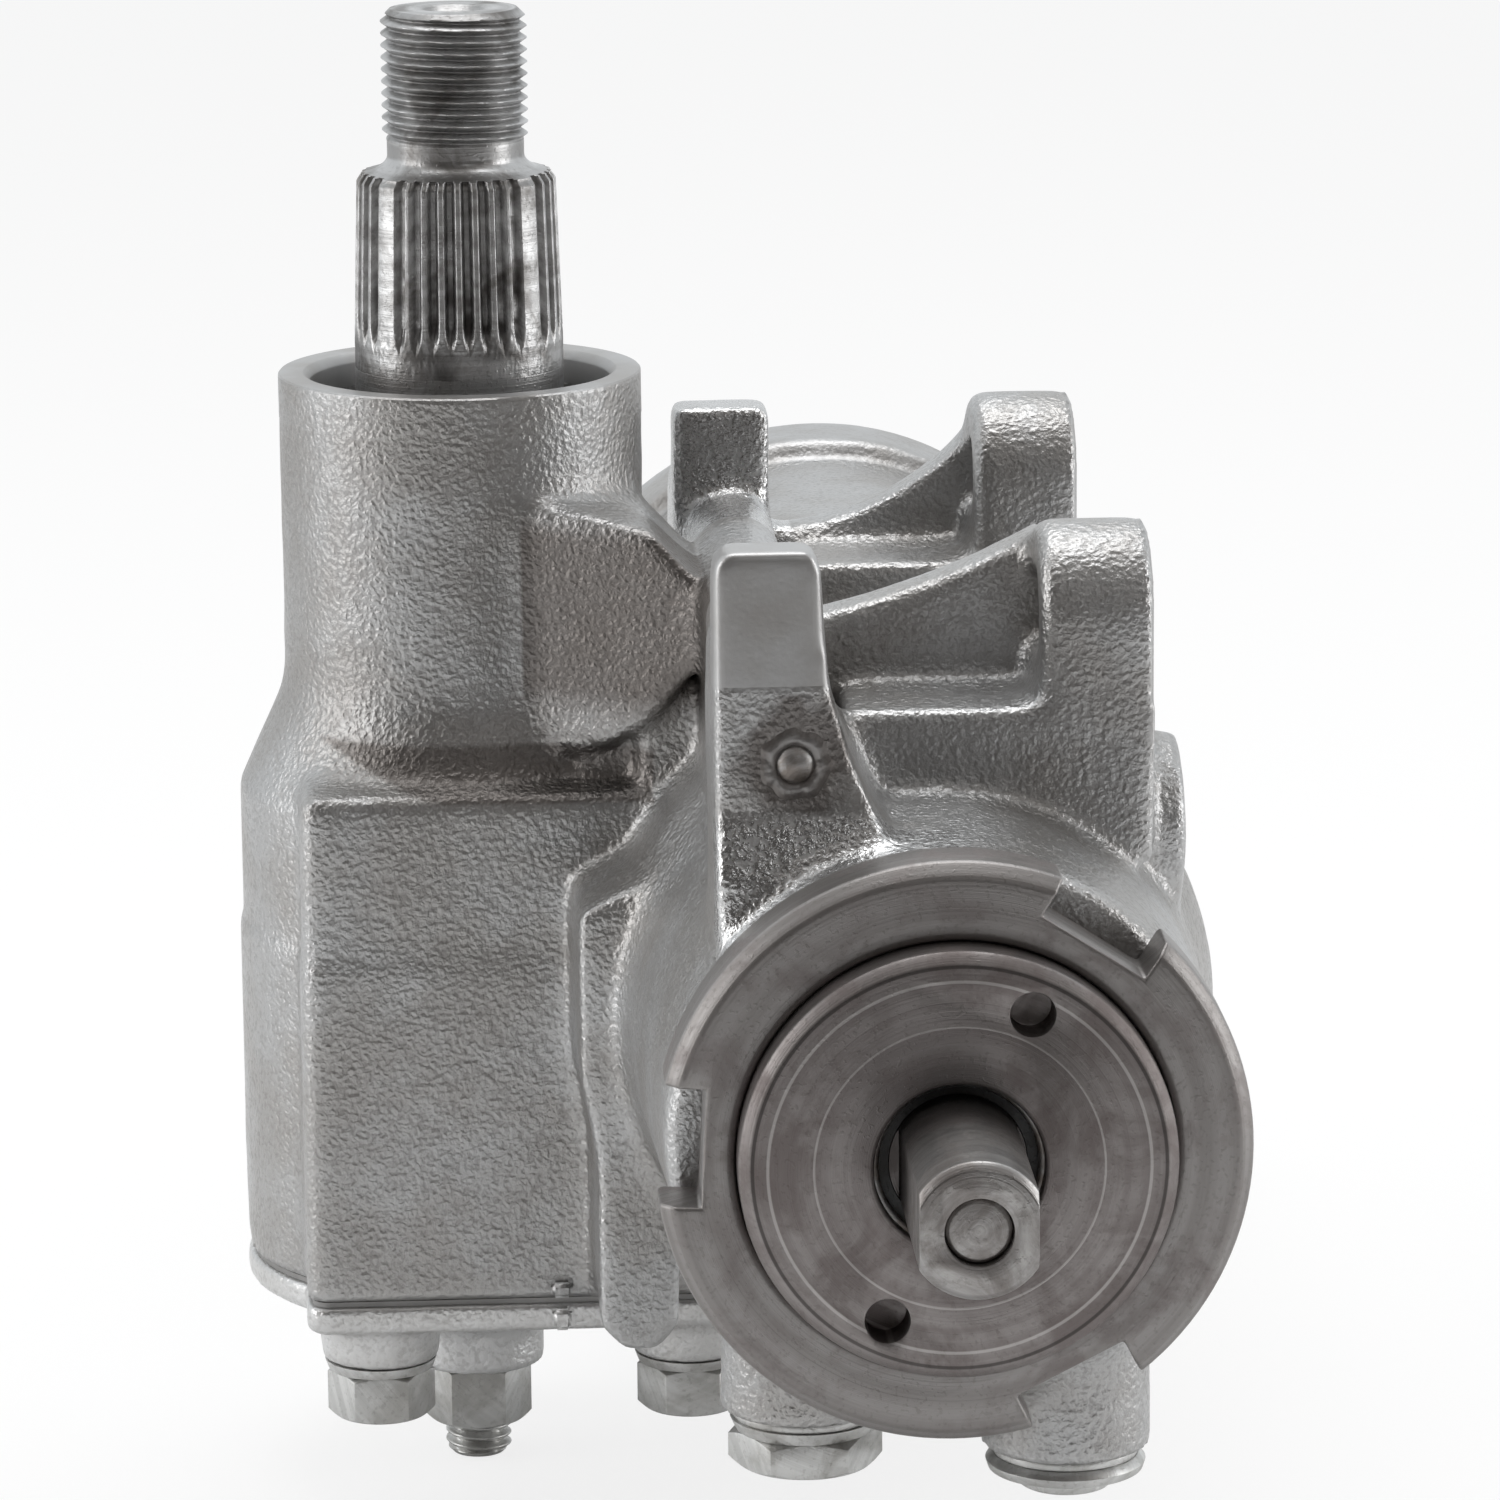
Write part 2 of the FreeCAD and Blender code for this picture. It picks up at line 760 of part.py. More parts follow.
def make_housing():
    pieces = [make_barrel()] + make_sector_case() + make_ears() + make_saddle()
    pieces += [make_gusset(), make_rib()] + make_port_bosses()
    side_pad = cylinder(
        "side_pad", "side_pad_rad", "side_pad_x", ("0", "side_pad_y", "side_pad_height"), "+X"
    )
    pieces.append(side_pad)
    casting = fuse("housing_casting", pieces)

    worm_bores = [
        ("0", "nut_len - 1"), ("nut_thread_rad", "nut_len - 1"),
        ("nut_thread_rad", "plug_thread_len - plug_proud"),
        ("plug_nose_rad + fit_gap", "plug_thread_len - plug_proud + 0.5"),
        ("plug_nose_rad + fit_gap", PLUG_BACK),
        ("valve_rad + fit_gap", PLUG_BACK), ("valve_rad + fit_gap", BULKHEAD),
        ("bulkhead_bore_rad", BULKHEAD), ("bulkhead_bore_rad", PISTON_ROOM),
        ("piston_rad + piston_clearance", PISTON_ROOM), ("piston_rad + piston_clearance", END_PLUG_FRONT),
        ("end_plug_rad + fit_gap", END_PLUG_FRONT), ("end_plug_rad + fit_gap", "barrel_end + 1"),
        ("0", "barrel_end + 1"),
    ]
    tools = [turned("worm_bore", worm_bores, AXIS, "+Y")]
    ring_front = END_PLUG_FRONT + " + end_plug_len"
    tools.append(
        tube(
            "end_ring_groove", "end_plug_rad - 1", "end_plug_rad + end_ring_depth + fit_gap", "0",
            "end_ring_len + fit_gap", station(ring_front), "+Y"
        )
    )
    sector_bores = [
        ("0", "0"), ("shaft_rad + 1", "0"), ("shaft_rad + 1", "bearing_floor"),
        ("sector_bearing_rad + run_gap", "bearing_floor"),
        ("sector_bearing_rad + run_gap", "seal_floor"), ("tube_bore_rad", "seal_floor"),
        ("tube_bore_rad", "tube_top - tube_bore_chamfer"),
        ("tube_bore_rad + tube_bore_chamfer + 0.2", "tube_top + 0.2"),
        ("0", "tube_top + 0.2"),
    ]
    tools.append(turned("tube_bore", sector_bores, SECTOR))
    ring_low = RING_LOW
    tools.append(
        tube(
            "tube_ring_groove", "tube_bore_rad - 1", "tube_bore_rad + sector_ring_depth", "0",
            "sector_ring_len + fit_gap", on_sector(ring_low)
        )
    )
    tools.append(cylinder("hub_well", "hub_well_rad", "cover_plane + 26", on_sector("-cover_plane - 1")))
    tools.append(swept_room("insert_room", "insert_half_width", "cover_plane + 1", "sweep_half_height"))
    tools.append(swept_room("sweep_room", "sweep_half_width", "sweep_half_height", "sweep_half_height"))
    for side in COVER_BOLTS:
        name = "cover_tap_%d_%d" % (side[0] + 1, side[1] + 1)
        depth = "cover_bolt_grip - cover_pad_len - cover_thick + 3"
        tools.append(
            cylinder(
                name, "cover_bolt_rad + run_gap", depth + " + 1", cover_bolt_place(side, "-cover_plane - 1")
            )
        )
    for index, side in enumerate((-1, 1)):
        y = "bolt_mid_y + (%d) * bolt_spacing / 2" % side
        hole = [
            ("0", "-1"), ("bolt_hole_rad", "-1"), ("bolt_hole_rad", "ear_right_wide + 1"),
            ("0", "ear_right_wide + 1"),
        ]
        tools.append(
            turned("frame_tap_%d" % index, hole, ("pad_x - ear_right_wide", y, "bolt_height"), "+X")
        )
    for name, x, low in (
        ("left", "-port_left_x", "port_left_low"), ("right", "port_right_x", "port_right_low")
    ):
        port = [
            ("0", "-1"), ("port_bore_rad", "-1"), ("port_bore_rad", "port_depth"),
            ("port_seat_rad", "port_depth"),
            ("port_seat_rad", "port_depth + 6"), ("port_seat_bore", "port_depth + 6"),
            ("port_seat_bore", low + " - 8"), ("0", low + " - 8"),
        ]
        tools.append(turned("port_bore_" + name, port, (x, "port_y", "-" + low)))
    tools.append(
        cylinder(
            "oil_ball_seat", "oil_ball_rad", "oil_ball_rad + 40",
            ("-oil_ball_x", "front_left_y - ear_rad - 1", "oil_ball_height"), "+Y"
        )
    )
    keep("gear_housing", cut("gear_housing", casting, tools))


def swept_room(name, half_width, low, high):
    # Room in the case for the sector teeth: a round pie on the worm side of the shaft.
    pie = cylinder(name + "_round", "sweep_rad", "(%s) + (%s)" % (low, high), on_sector("-(%s)" % low))
    block = box(
        name + "_block", ("sweep_rad + 1", "2 * (%s)" % half_width, "(%s) + (%s)" % (low, high)),
        ("-sector_x", "sector_y - (%s)" % half_width, "-(%s)" % low)
    )
    return common(name, pie, block)


RING_LOW = "seal_floor + sector_washer_len + sector_seal_len + sector_washer_len + sector_dust_len"


def make_adjuster_plug():
    thread = "nut_thread_rad - run_gap"
    seal_low = PLUG_BACK + " - 4.4"
    seal_high = PLUG_BACK + " - 1.4"
    seal_root = "plug_nose_rad + fit_gap - 2 * plug_seal_wire"
    profile = [
        ("plug_bore_rad + 0.4", "-plug_proud"), ("plug_face_rad", "-plug_proud"),
        (thread, "-plug_proud + 1.4"),
        (thread, "plug_thread_len - plug_proud"), ("plug_nose_rad", "plug_thread_len - plug_proud"),
        ("plug_nose_rad", seal_low), (seal_root, seal_low), (seal_root, seal_high),
        ("plug_nose_rad", seal_high),
        ("plug_nose_rad", PLUG_BACK), ("plug_back_rad", PLUG_BACK),
        ("plug_back_rad", "plug_bore_len - plug_proud"),
        ("plug_bore_rad", "plug_bore_len - plug_proud"), ("plug_bore_rad", "-plug_proud + 0.4"),
    ]
    blank = turned("plug_blank", profile, AXIS, "+Y")
    tools = []
    for index, angle in enumerate((65, 245)):
        x = "spanner_hole_circle * cos(%d deg)" % angle
        z = "spanner_hole_circle * sin(%d deg)" % angle
        hole = "spanner_hole_%d" % index
        tools.append(
            cylinder(hole, "spanner_hole_rad", "spanner_hole_depth + 1", (x, "-plug_proud - 1", z), "+Y")
        )
    groove = "plug_bore_rad - 1"
    ring_y = "-plug_proud + 2"
    tools.append(
        tube(
            "input_ring_groove", groove, "plug_bore_rad + ring_wire", "0", "2 * ring_wire + fit_gap",
            station(ring_y), "+Y"
        )
    )
    keep("adjuster_plug", cut("adjuster_plug", blank, tools))
    seal_mid = PLUG_BACK + " - 2.9"
    keep(
        "adjuster_plug_seal",
        torus(
            "adjuster_plug_seal", "plug_nose_rad + fit_gap - plug_seal_wire", "plug_seal_wire - 0.02",
            station(seal_mid), "+Y"
        )
    )


def make_locknut():
    profile = [
        ("nut_thread_rad + 0.8", "0"), ("nut_rad - nut_chamfer", "0"), ("nut_rad", "nut_chamfer"),
        ("nut_rad", "nut_len - 0.8"), ("nut_rad - 0.8", "nut_len"), ("nut_thread_rad", "nut_len"),
        ("nut_thread_rad", "0.8"),
    ]
    blank = turned("locknut_blank", profile, AXIS, "+Y")
    tools = []
    for index, angle in enumerate((57, 177, 297)):
        notch = box(
            "locknut_notch_%d" % index, ("nut_notch_depth + 4", "nut_len + 2", "nut_notch_width"), AXIS
        )
        turn = FreeCAD.Rotation(Vector(0, 1, 0), -angle)
        notch.Placement = FreeCAD.Placement(Vector(0, 0, 0), turn)
        out = "(nut_rad - nut_notch_depth)"
        side = "(nut_notch_width / 2)"
        terms = (
            "%s + %s * cos(%d deg) + %s * sin(%d deg)" % (WORM_AXIS[0], out, angle, side, angle),
            "%s - 1" % WORM_AXIS[1],
            "%s + %s * sin(%d deg) - %s * cos(%d deg)" % (WORM_AXIS[2], out, angle, side, angle),
        )
        for axis, told in zip("xyz", terms):
            notch.setExpression("Placement.Base." + axis, cells(told))
        tools.append(notch)
    keep("adjuster_locknut", cut("adjuster_locknut", blank, tools))


def make_input_end():
    bore = "torsion_end_rad + run_gap"
    journal_start = "(plug_bore_len - plug_proud)"
    tail = "(plug_len - plug_proud + thrust_len + spool_len + 3)"
    profile = [
        (bore, TIP), ("input_rad - input_chamfer", TIP), ("input_rad", TIP + " + input_chamfer"),
        ("input_rad", journal_start), ("input_journal_rad", journal_start + " + 1"),
        ("input_journal_rad", PLUG_BACK),
        ("input_tail_rad - run_gap", PLUG_BACK), ("input_tail_rad - run_gap", tail), (bore, tail),
    ]
    blank = turned("stub_blank", profile, AXIS, "+Y")
    tools = []
    for index, (low, name) in enumerate((("input_flats / 2", "right"), ("-input_flats / 2 - 5", "left"))):
        sides = ("5", "input_flat_len + 1", "2 * input_rad + 2")
        tools.append(box("stub_flat_" + name, sides, (low, TIP + " - 1", "-input_rad - 1")))
    keep("stub_shaft", cut("stub_shaft", blank, tools))

    bar = [
        ("0", TIP + " + torsion_recess"), ("torsion_end_rad - 0.6", TIP + " + torsion_recess"),
        ("torsion_end_rad", TIP + " + torsion_recess + 0.6"),
        ("torsion_end_rad", TIP + " + torsion_end_len"),
        ("torsion_mid_rad", TIP + " + torsion_end_len + 3"), ("torsion_mid_rad", HEAD_BACK + " + 3"),
        ("torsion_end_rad", HEAD_BACK + " + 6"), ("torsion_end_rad", HEAD_BACK + " + 6 + torsion_end_len"),
        ("0", HEAD_BACK + " + 6 + torsion_end_len"),
    ]
    keep("torsion_bar", turned("torsion_bar", bar, AXIS, "+Y"))

    spool_end = "spool_len"
    outer = "valve_bore_rad - run_gap"
    spool = tube(
        "spool_blank", "input_tail_rad", outer, "0", spool_end, station(VALVE_FRONT + " + 1"), "+Y"
    )
    slots = []
    for index in range(6):
        slot = box("spool_slot_%d" % index, ("3", "spool_len - 8", "spool_slot"), AXIS)
        angle = 60 * index
        slot.Placement = FreeCAD.Placement(Vector(0, 0, 0), FreeCAD.Rotation(Vector(0, 1, 0), -angle))
        terms = (
            "%s + (%s - 1.6) * cos(%d deg) + spool_slot / 2 * sin(%d deg)" % (
                WORM_AXIS[0], outer, angle, angle
            ),
            "%s + %s + 5" % (WORM_AXIS[1], VALVE_FRONT),
            "%s + (%s - 1.6) * sin(%d deg) - spool_slot / 2 * cos(%d deg)" % (
                WORM_AXIS[2], outer, angle, angle
            ),
        )
        for axis, told in zip("xyz", terms):
            slot.setExpression("Placement.Base." + axis, cells(told))
        slots.append(slot)
    keep("valve_spool", cut("valve_spool", spool, slots))

    inner = "input_journal_rad + run_gap"
    keep(
        "input_needle_bearing",
        tube(
            "input_needle_bearing", inner, "plug_back_rad - 0.02", "0", "input_bearing_len",
            station(journal_start + " + 1.2"), "+Y"
        )
    )
    ring_y = "-plug_proud + 2 + ring_wire"
    keep(
        "input_retaining_ring",
        torus("input_retaining_ring", "plug_bore_rad", "ring_wire - 0.02", station(ring_y), "+Y")
    )
    dust_y = "-plug_proud + 2 + 2 * ring_wire + fit_gap"
    keep(
        "input_dust_seal",
        tube(
            "input_dust_seal", "input_rad + run_gap", "plug_bore_rad - 0.02", "0", "dust_seal_len",
            station(dust_y), "+Y"
        )
    )
    seal = [
        ("input_rad + run_gap", "1"), ("input_rad + 0.8", "0"), ("plug_bore_rad - 0.02", "0"),
        ("plug_bore_rad - 0.02", "seal_len"), ("input_rad + 1.4", "seal_len"),
        ("input_rad + run_gap", "2.4"),
    ]
    keep(
        "input_shaft_seal",
        turned("input_shaft_seal", seal, station(dust_y + " + dust_seal_len + fit_gap"), "+Y")
    )


def make_thrust_bearing(node, start, inner, outer):
    # Two thin races with a needle cage between them, as three solids of one node.
    race = "thrust_len / 4"
    solids = []
    for index, (low, high, step) in enumerate((
        ("0.02", race, "0"), (race + " + 0.02", "thrust_len - %s - 0.02" % race, "0.8"),
        ("thrust_len - %s" % race, "thrust_len - 0.02", "0"),
    )):
        solids.append(
            tube(
                "%s_%d" % (node, index), "%s + %s" % (inner, step), "%s - %s" % (outer, step), low, high,
                station(start), "+Y"
            )
        )
    keep(node, group(node, solids))


def make_valve_body():
    outer = "valve_rad"
    root = "valve_rad - valve_groove_depth"
    ring_root = "valve_rad - valve_ring_depth"
    profile = [("valve_bore_rad", "0"), (outer, "0")]
    stations = []
    pitch = "(valve_len / 4)"
    for index in range(4):
        low = "%s * %d + 1.5" % (pitch, index)
        high = low + " + valve_ring_width + fit_gap"
        profile += [(outer, low), (ring_root, low), (ring_root, high), (outer, high)]
        stations.append(low)
        if index < 3:
            start = "%s * %d + 4.6" % (pitch, index)
            end = start + " + valve_groove_width"
            profile += [(outer, start), (root, start), (root, end), (outer, end)]
    profile += [(outer, "valve_len"), ("valve_bore_rad", "valve_len")]
    blank = turned("valve_blank", profile, station(VALVE_FRONT), "+Y")
    tools = []
    for index in range(4):
        name = "valve_port_%d" % index
        y = VALVE_FRONT + " + valve_len / 4 * %d + 4.6 + valve_groove_width / 2" % (index % 3)
        along = ("+X", "-X", "+Z", "-Z")[index]
        tools.append(cylinder(name, "valve_port_rad", "valve_rad + 1", station(y), along))
    tools.append(drive_pin("valve_pin_hole", "drive_pin_rad + run_gap", "0.1"))
    keep("valve_body", cut("valve_body", blank, tools))
    rings = []
    for index, low in enumerate(stations):
        rings.append(
            tube(
                "valve_ring_%d" % index, ring_root + " + run_gap", "valve_rad + run_gap", low + " + 0.05",
                low + " + 0.05 + valve_ring_width", station(VALVE_FRONT), "+Y"
            )
        )
    keep("valve_body_rings", group("valve_body_rings", rings))


def helical_groove(name, circle_rad, groove_rad, start, end):
    # A ball groove: a round section swept along a right-hand helix about the worm axis.
    lead = value("worm_lead")
    low = value(start)
    length = value(end) - low
    helix = Part.makeHelix(lead, length, circle_rad)
    slope = lead / (2 * math.pi * circle_rad)
    section = Part.Wire([Part.Circle(Vector(circle_rad, 0, 0), Vector(0, 1, slope), groove_rad).toShape()])
    groove = Part.Wire(helix).makePipeShell([section], True, True)
    thing = doc.addObject("Part::Feature", name)
    thing.Shape = groove
    base = datum() + Vector(0, low, 0)
    thing.Placement = FreeCAD.Placement(base, TURNS["+Y"])
    return thing


def make_worm():
    bore = "torsion_end_rad + run_gap"
    spigot = "valve_bore_rad - run_gap"
    spigot_start = VALVE_BACK + " - worm_spigot_len"
    deep = HEAD_BACK + " + 6.2 + torsion_end_len"
    profile = [
        (bore, spigot_start), (spigot, spigot_start), (spigot, VALVE_BACK + " + 0.1"),
        ("worm_head_rad", VALVE_BACK + " + 0.1"),
        ("worm_head_rad", HEAD_BACK), ("worm_neck_rad", HEAD_BACK),
        ("worm_neck_rad", "worm_thread_start - 6"),
        ("worm_rad", "worm_thread_start - 6"), ("worm_rad", "worm_end - 1.5"),
        ("worm_rad - 1.5", "worm_end"),
        ("0", "worm_end"), ("0", deep), (bore, deep),
    ]
    blank = turned("worm_blank", profile, AXIS, "+Y")
    groove = helical_groove(
        "worm_groove", value("ball_circle_rad"), value("ball_rad + fit_gap"), "worm_thread_start",
        "worm_thread_start + worm_turns * worm_lead"
    )
    grooved = cut("worm_grooved", blank, [groove])
    keep(
        "worm_shaft",
        cut("worm_shaft", grooved, [drive_pin("worm_pin_hole", "drive_pin_rad + run_gap", "0.1")])
    )
    keep("valve_drive_pin", drive_pin("valve_drive_pin", "drive_pin_rad", "0"))


def drive_pin(name, radius, spare):
    # The pin that turns the valve body with the worm's head, or its hole with spare length.
    start = VALVE_BACK + " - drive_pin_len / 2 - " + spare
    x = "valve_bore_rad + drive_pin_rad + 1.4"
    return cylinder(name, radius, "drive_pin_len + 2 * " + spare, (x, start, "0"), "+Y")


def make_piston():
    rear = "(piston_front + piston_len)"
    ring_low = rear + " - 12"
    ring_high = ring_low + " + piston_ring_width + fit_gap"
    ring_root = "piston_rad - piston_ring_depth"
    profile = [
        ("piston_mouth_rad", "piston_front"), ("piston_rad - 1.5", "piston_front"),
        ("piston_rad", "piston_front + 1.5"),
        ("piston_rad", ring_low), (ring_root, ring_low), (ring_root, ring_high), ("piston_rad", ring_high),
        ("piston_rad", rear + " - 1"), ("piston_rad - 1", rear), ("piston_plug_rad", rear),
        ("piston_plug_rad", rear + " - piston_plug_len"), ("piston_bore_rad", rear + " - piston_plug_len"),
        ("piston_bore_rad", "piston_front + piston_mouth_len"),
        ("piston_mouth_rad", "piston_front + piston_mouth_len"),
    ]
    blank = turned("piston_blank", profile, AXIS, "+Y")
    tools = [make_rack_spaces()]
    groove = helical_groove(
        "piston_groove", value("ball_circle_rad"), value("ball_rad + fit_gap"),
        BALL_START + " - worm_lead", BALL_START + " + (ball_turns + 1) * worm_lead",
    )
    grooved = cut("piston_grooved", blank, [groove])
    tools.append(
        box("guide_pocket", ("20", GUIDE_SPAN + " + 24", "22"), (GUIDE_FLAT, BALL_START + " - 12", "-11"))
    )
    for index, y in enumerate((BALL_START, BALL_START + " + " + GUIDE_SPAN)):
        tools.append(
            cylinder(
                "guide_leg_hole_%d" % index, "guide_wire_rad + fit_gap", GUIDE_FLAT,
                ("ball_circle_rad", y, "0"), "+X"
            )
        )
    keep("rack_piston", cut("rack_piston", grooved, tools))
    ring = tube(
        "piston_ring", ring_root + " + run_gap", "piston_rad + run_gap", "0.05", "piston_ring_width + 0.05",
        station(ring_low), "+Y"
    )
    keep("piston_ring", ring)
    plug = [
        ("0", "0"), ("piston_plug_rad - run_gap", "0"),
        ("piston_plug_rad - run_gap", "piston_plug_len - 1"),
        ("6", "piston_plug_len - 1"), ("6", "4"), ("0", "4"),
    ]
    keep(
        "piston_end_plug",
        turned("piston_end_plug", plug, station(rear + " - piston_plug_len + 0.02"), "+Y")
    )

    balls = []
    count = int(value("ball_count"))
    for index in range(count):
        ball = doc.addObject("Part::Sphere", "ball_%d" % index)
        ball.setExpression("Radius", cells("ball_rad"))
        travel = "((ball_turns * worm_lead) * %d / %d)" % (index, count - 1)
        turn = "(360 * (%s + %s - worm_thread_start) / worm_lead)" % (BALL_START, travel)
        x = "ball_circle_rad * cos(%s * 1deg)" % turn
        z = "-ball_circle_rad * sin(%s * 1deg)" % turn
        balls.append(place(ball, (x, BALL_START + " + " + travel, z)))
    keep("recirculating_balls", group("recirculating_balls", balls))

    legs = []
    reach = GUIDE_FLAT + " + guide_wire_rad + 0.4"
    for index, y in enumerate((BALL_START, BALL_START + " + " + GUIDE_SPAN)):
        legs.append(
            cylinder(
                "guide_leg_%d" % index, "guide_wire_rad", reach + " - ball_circle_rad - 5",
                ("ball_circle_rad + 5", y, "0"), "+X"
            )
        )
    legs.append(cylinder("guide_bridge", "guide_wire_rad", GUIDE_SPAN, (reach, BALL_START, "0"), "+Y"))
    for index, y in enumerate((BALL_START, BALL_START + " + " + GUIDE_SPAN)):
        corner = doc.addObject("Part::Sphere", "guide_corner_%d" % index)
        corner.setExpression("Radius", cells("guide_wire_rad"))
        legs.append(place(corner, (reach, y, "0")))
    keep("ball_return_guide", fuse("ball_return_guide", legs))
    clamp_x = reach + " + guide_wire_rad + 0.05"
    strap = box(
        "clamp_strap", ("1.2", "8", "18"), (clamp_x, BALL_START + " + %s / 2 - 4" % GUIDE_SPAN, "-9")
    )
    cheeks = []
    for index, z in enumerate(("-9", "7.8")):
        cheeks.append(
            box(
                "clamp_cheek_%d" % index, ("%s - %s + 0.6" % (clamp_x, GUIDE_FLAT), "8", "1.2"),
                (GUIDE_FLAT, BALL_START + " + %s / 2 - 4" % GUIDE_SPAN, z)
            )
        )
    keep("return_guide_clamp", fuse("return_guide_clamp", [strap] + cheeks))
    keep(
        "worm_oil_damper",
        tube(
            "worm_oil_damper", "worm_rad + wide_gap", "piston_mouth_rad - run_gap", "0", "3",
            station("piston_front + piston_mouth_len - 3.1"), "+Y"
        )
    )


BALL_START = "(worm_thread_start + 3 * worm_lead)"
GUIDE_SPAN = "(ball_turns * worm_lead)"
GUIDE_FLAT = "(piston_rad - guide_depth)"


def make_rack_spaces():
    # Straight-sided spaces between the rack teeth, cut across the piston.
    pitch = 2 * math.pi * value("pitch_rad") / value("teeth_round")
    slope = math.tan(math.radians(25))
    pitch_x = -value("sector_x") + value("pitch_rad")
    root_x = -value("rack_root_x")
    out_x = -value("piston_rad") - 3
    half = pitch / 4 + value("tooth_backlash") / 2
    spaces = []
    for index in (-1, 0, 1):
        y = value("sector_y") + index * pitch
        root_half = half - (root_x - pitch_x) * slope
        out_half = half + (pitch_x - out_x) * slope
        corners = [
            Vector(root_x, y - root_half, 0), Vector(root_x, y + root_half, 0),
            Vector(out_x, y + out_half, 0), Vector(out_x, y - out_half, 0),
            Vector(root_x, y - root_half, 0),
        ]
        space = Part.Face(Part.makePolygon(corners)).extrude(Vector(0, 0, 2 * value("piston_rad")))
        space.translate(Vector(0, 0, -value("piston_rad")))
        spaces.append(space)
    return shaped("rack_spaces", Part.makeCompound(spaces))


def involute_tooth(angle_mid):
    # One sector tooth: involute flanks from the base circle to the tip, radial below.
    pressure = math.radians(25)
    pitch_rad = value("pitch_rad")
    base = pitch_rad * math.cos(pressure)
    tip = pitch_rad + value("tooth_tip")
    root = pitch_rad - value("tooth_root")
    thick = math.pi * pitch_rad / value("teeth_round") - value("tooth_backlash") / 2
    half = thick / (2 * pitch_rad) + math.tan(pressure) - pressure
    height = value("sector_half_height")

    def point(radius, side):
        lean = math.acos(min(1.0, base / radius))
        angle = angle_mid + side * (half - (math.tan(lean) - lean))
        return Vector(radius * math.cos(angle), radius * math.sin(angle), -height)

    radii = [base + (tip - base) * part / 4 for part in range(5)]
    deep = root - 3
    edges = []
    flanks = []
    for side in (-1, 1):
        curve = Part.BSplineCurve()
        curve.interpolate([point(radius, side) for radius in radii])
        edges.append(curve.toShape())
        low_angle = angle_mid + side * half
        low = Vector(deep * math.cos(low_angle), deep * math.sin(low_angle), -height)
        edges.append(Part.LineSegment(low, point(base, side)).toShape())
        flanks.append((low, point(tip, side)))
    edges.append(Part.LineSegment(flanks[0][1], flanks[1][1]).toShape())
    edges.append(Part.LineSegment(flanks[0][0], flanks[1][0]).toShape())
    face = Part.Face(Part.Wire(Part.__sortEdges__(edges)))
    return face.extrude(Vector(0, 0, 2 * height))


SPLINE_TOP = "(shaft_top - thread_len - neck_len)"
SPLINE_LOW = "(shaft_top - thread_len - neck_len - spline_len)"


def make_spline_grooves():
    # Tapered serration grooves that run out at their lower ends. Blocked ones are left out.
    count = int(value("spline_count"))
    top_z = value(SPLINE_TOP)
    low_z = value(SPLINE_LOW)
    depth = value("spline_depth")
    top_rad = value("spline_top_rad")
    low_rad = value("spline_low_rad")
    run = 4.0

    def section(height, radius, deep):
        out = radius + 0.5
        wide = (deep + 0.5) * 0.82
        corners = [Vector(radius - deep, 0, height), Vector(out, -wide, height), Vector(out, wide, height)]
        return Part.makePolygon(corners + [corners[0]])

    end_rad = low_rad - (low_rad - top_rad) * run / (top_z - low_z)
    straight = Part.makeLoft(
        [section(low_z + run, end_rad, depth), section(top_z + 1, top_rad, depth)], True, True
    )
    fading = Part.makeLoft(
        [section(low_z, low_rad, -0.1), section(low_z + run, end_rad, depth)], True, True
    )
    groove = straight.fuse(fading)
    grooves = []
    first = -136.0
    blocked = [0, count // 4, count // 2, 3 * count // 4]
    for index in range(count):
        if index in blocked:
            continue
        turned_copy = groove.copy()
        turned_copy.rotate(Vector(0, 0, 0), Vector(0, 0, 1), first + 360.0 * index / count)
        grooves.append(turned_copy)
    bundle = Part.makeCompound(grooves)
    bundle.translate(Vector(-value("sector_x"), value("sector_y"), 0))
    return shaped("spline_grooves", bundle)


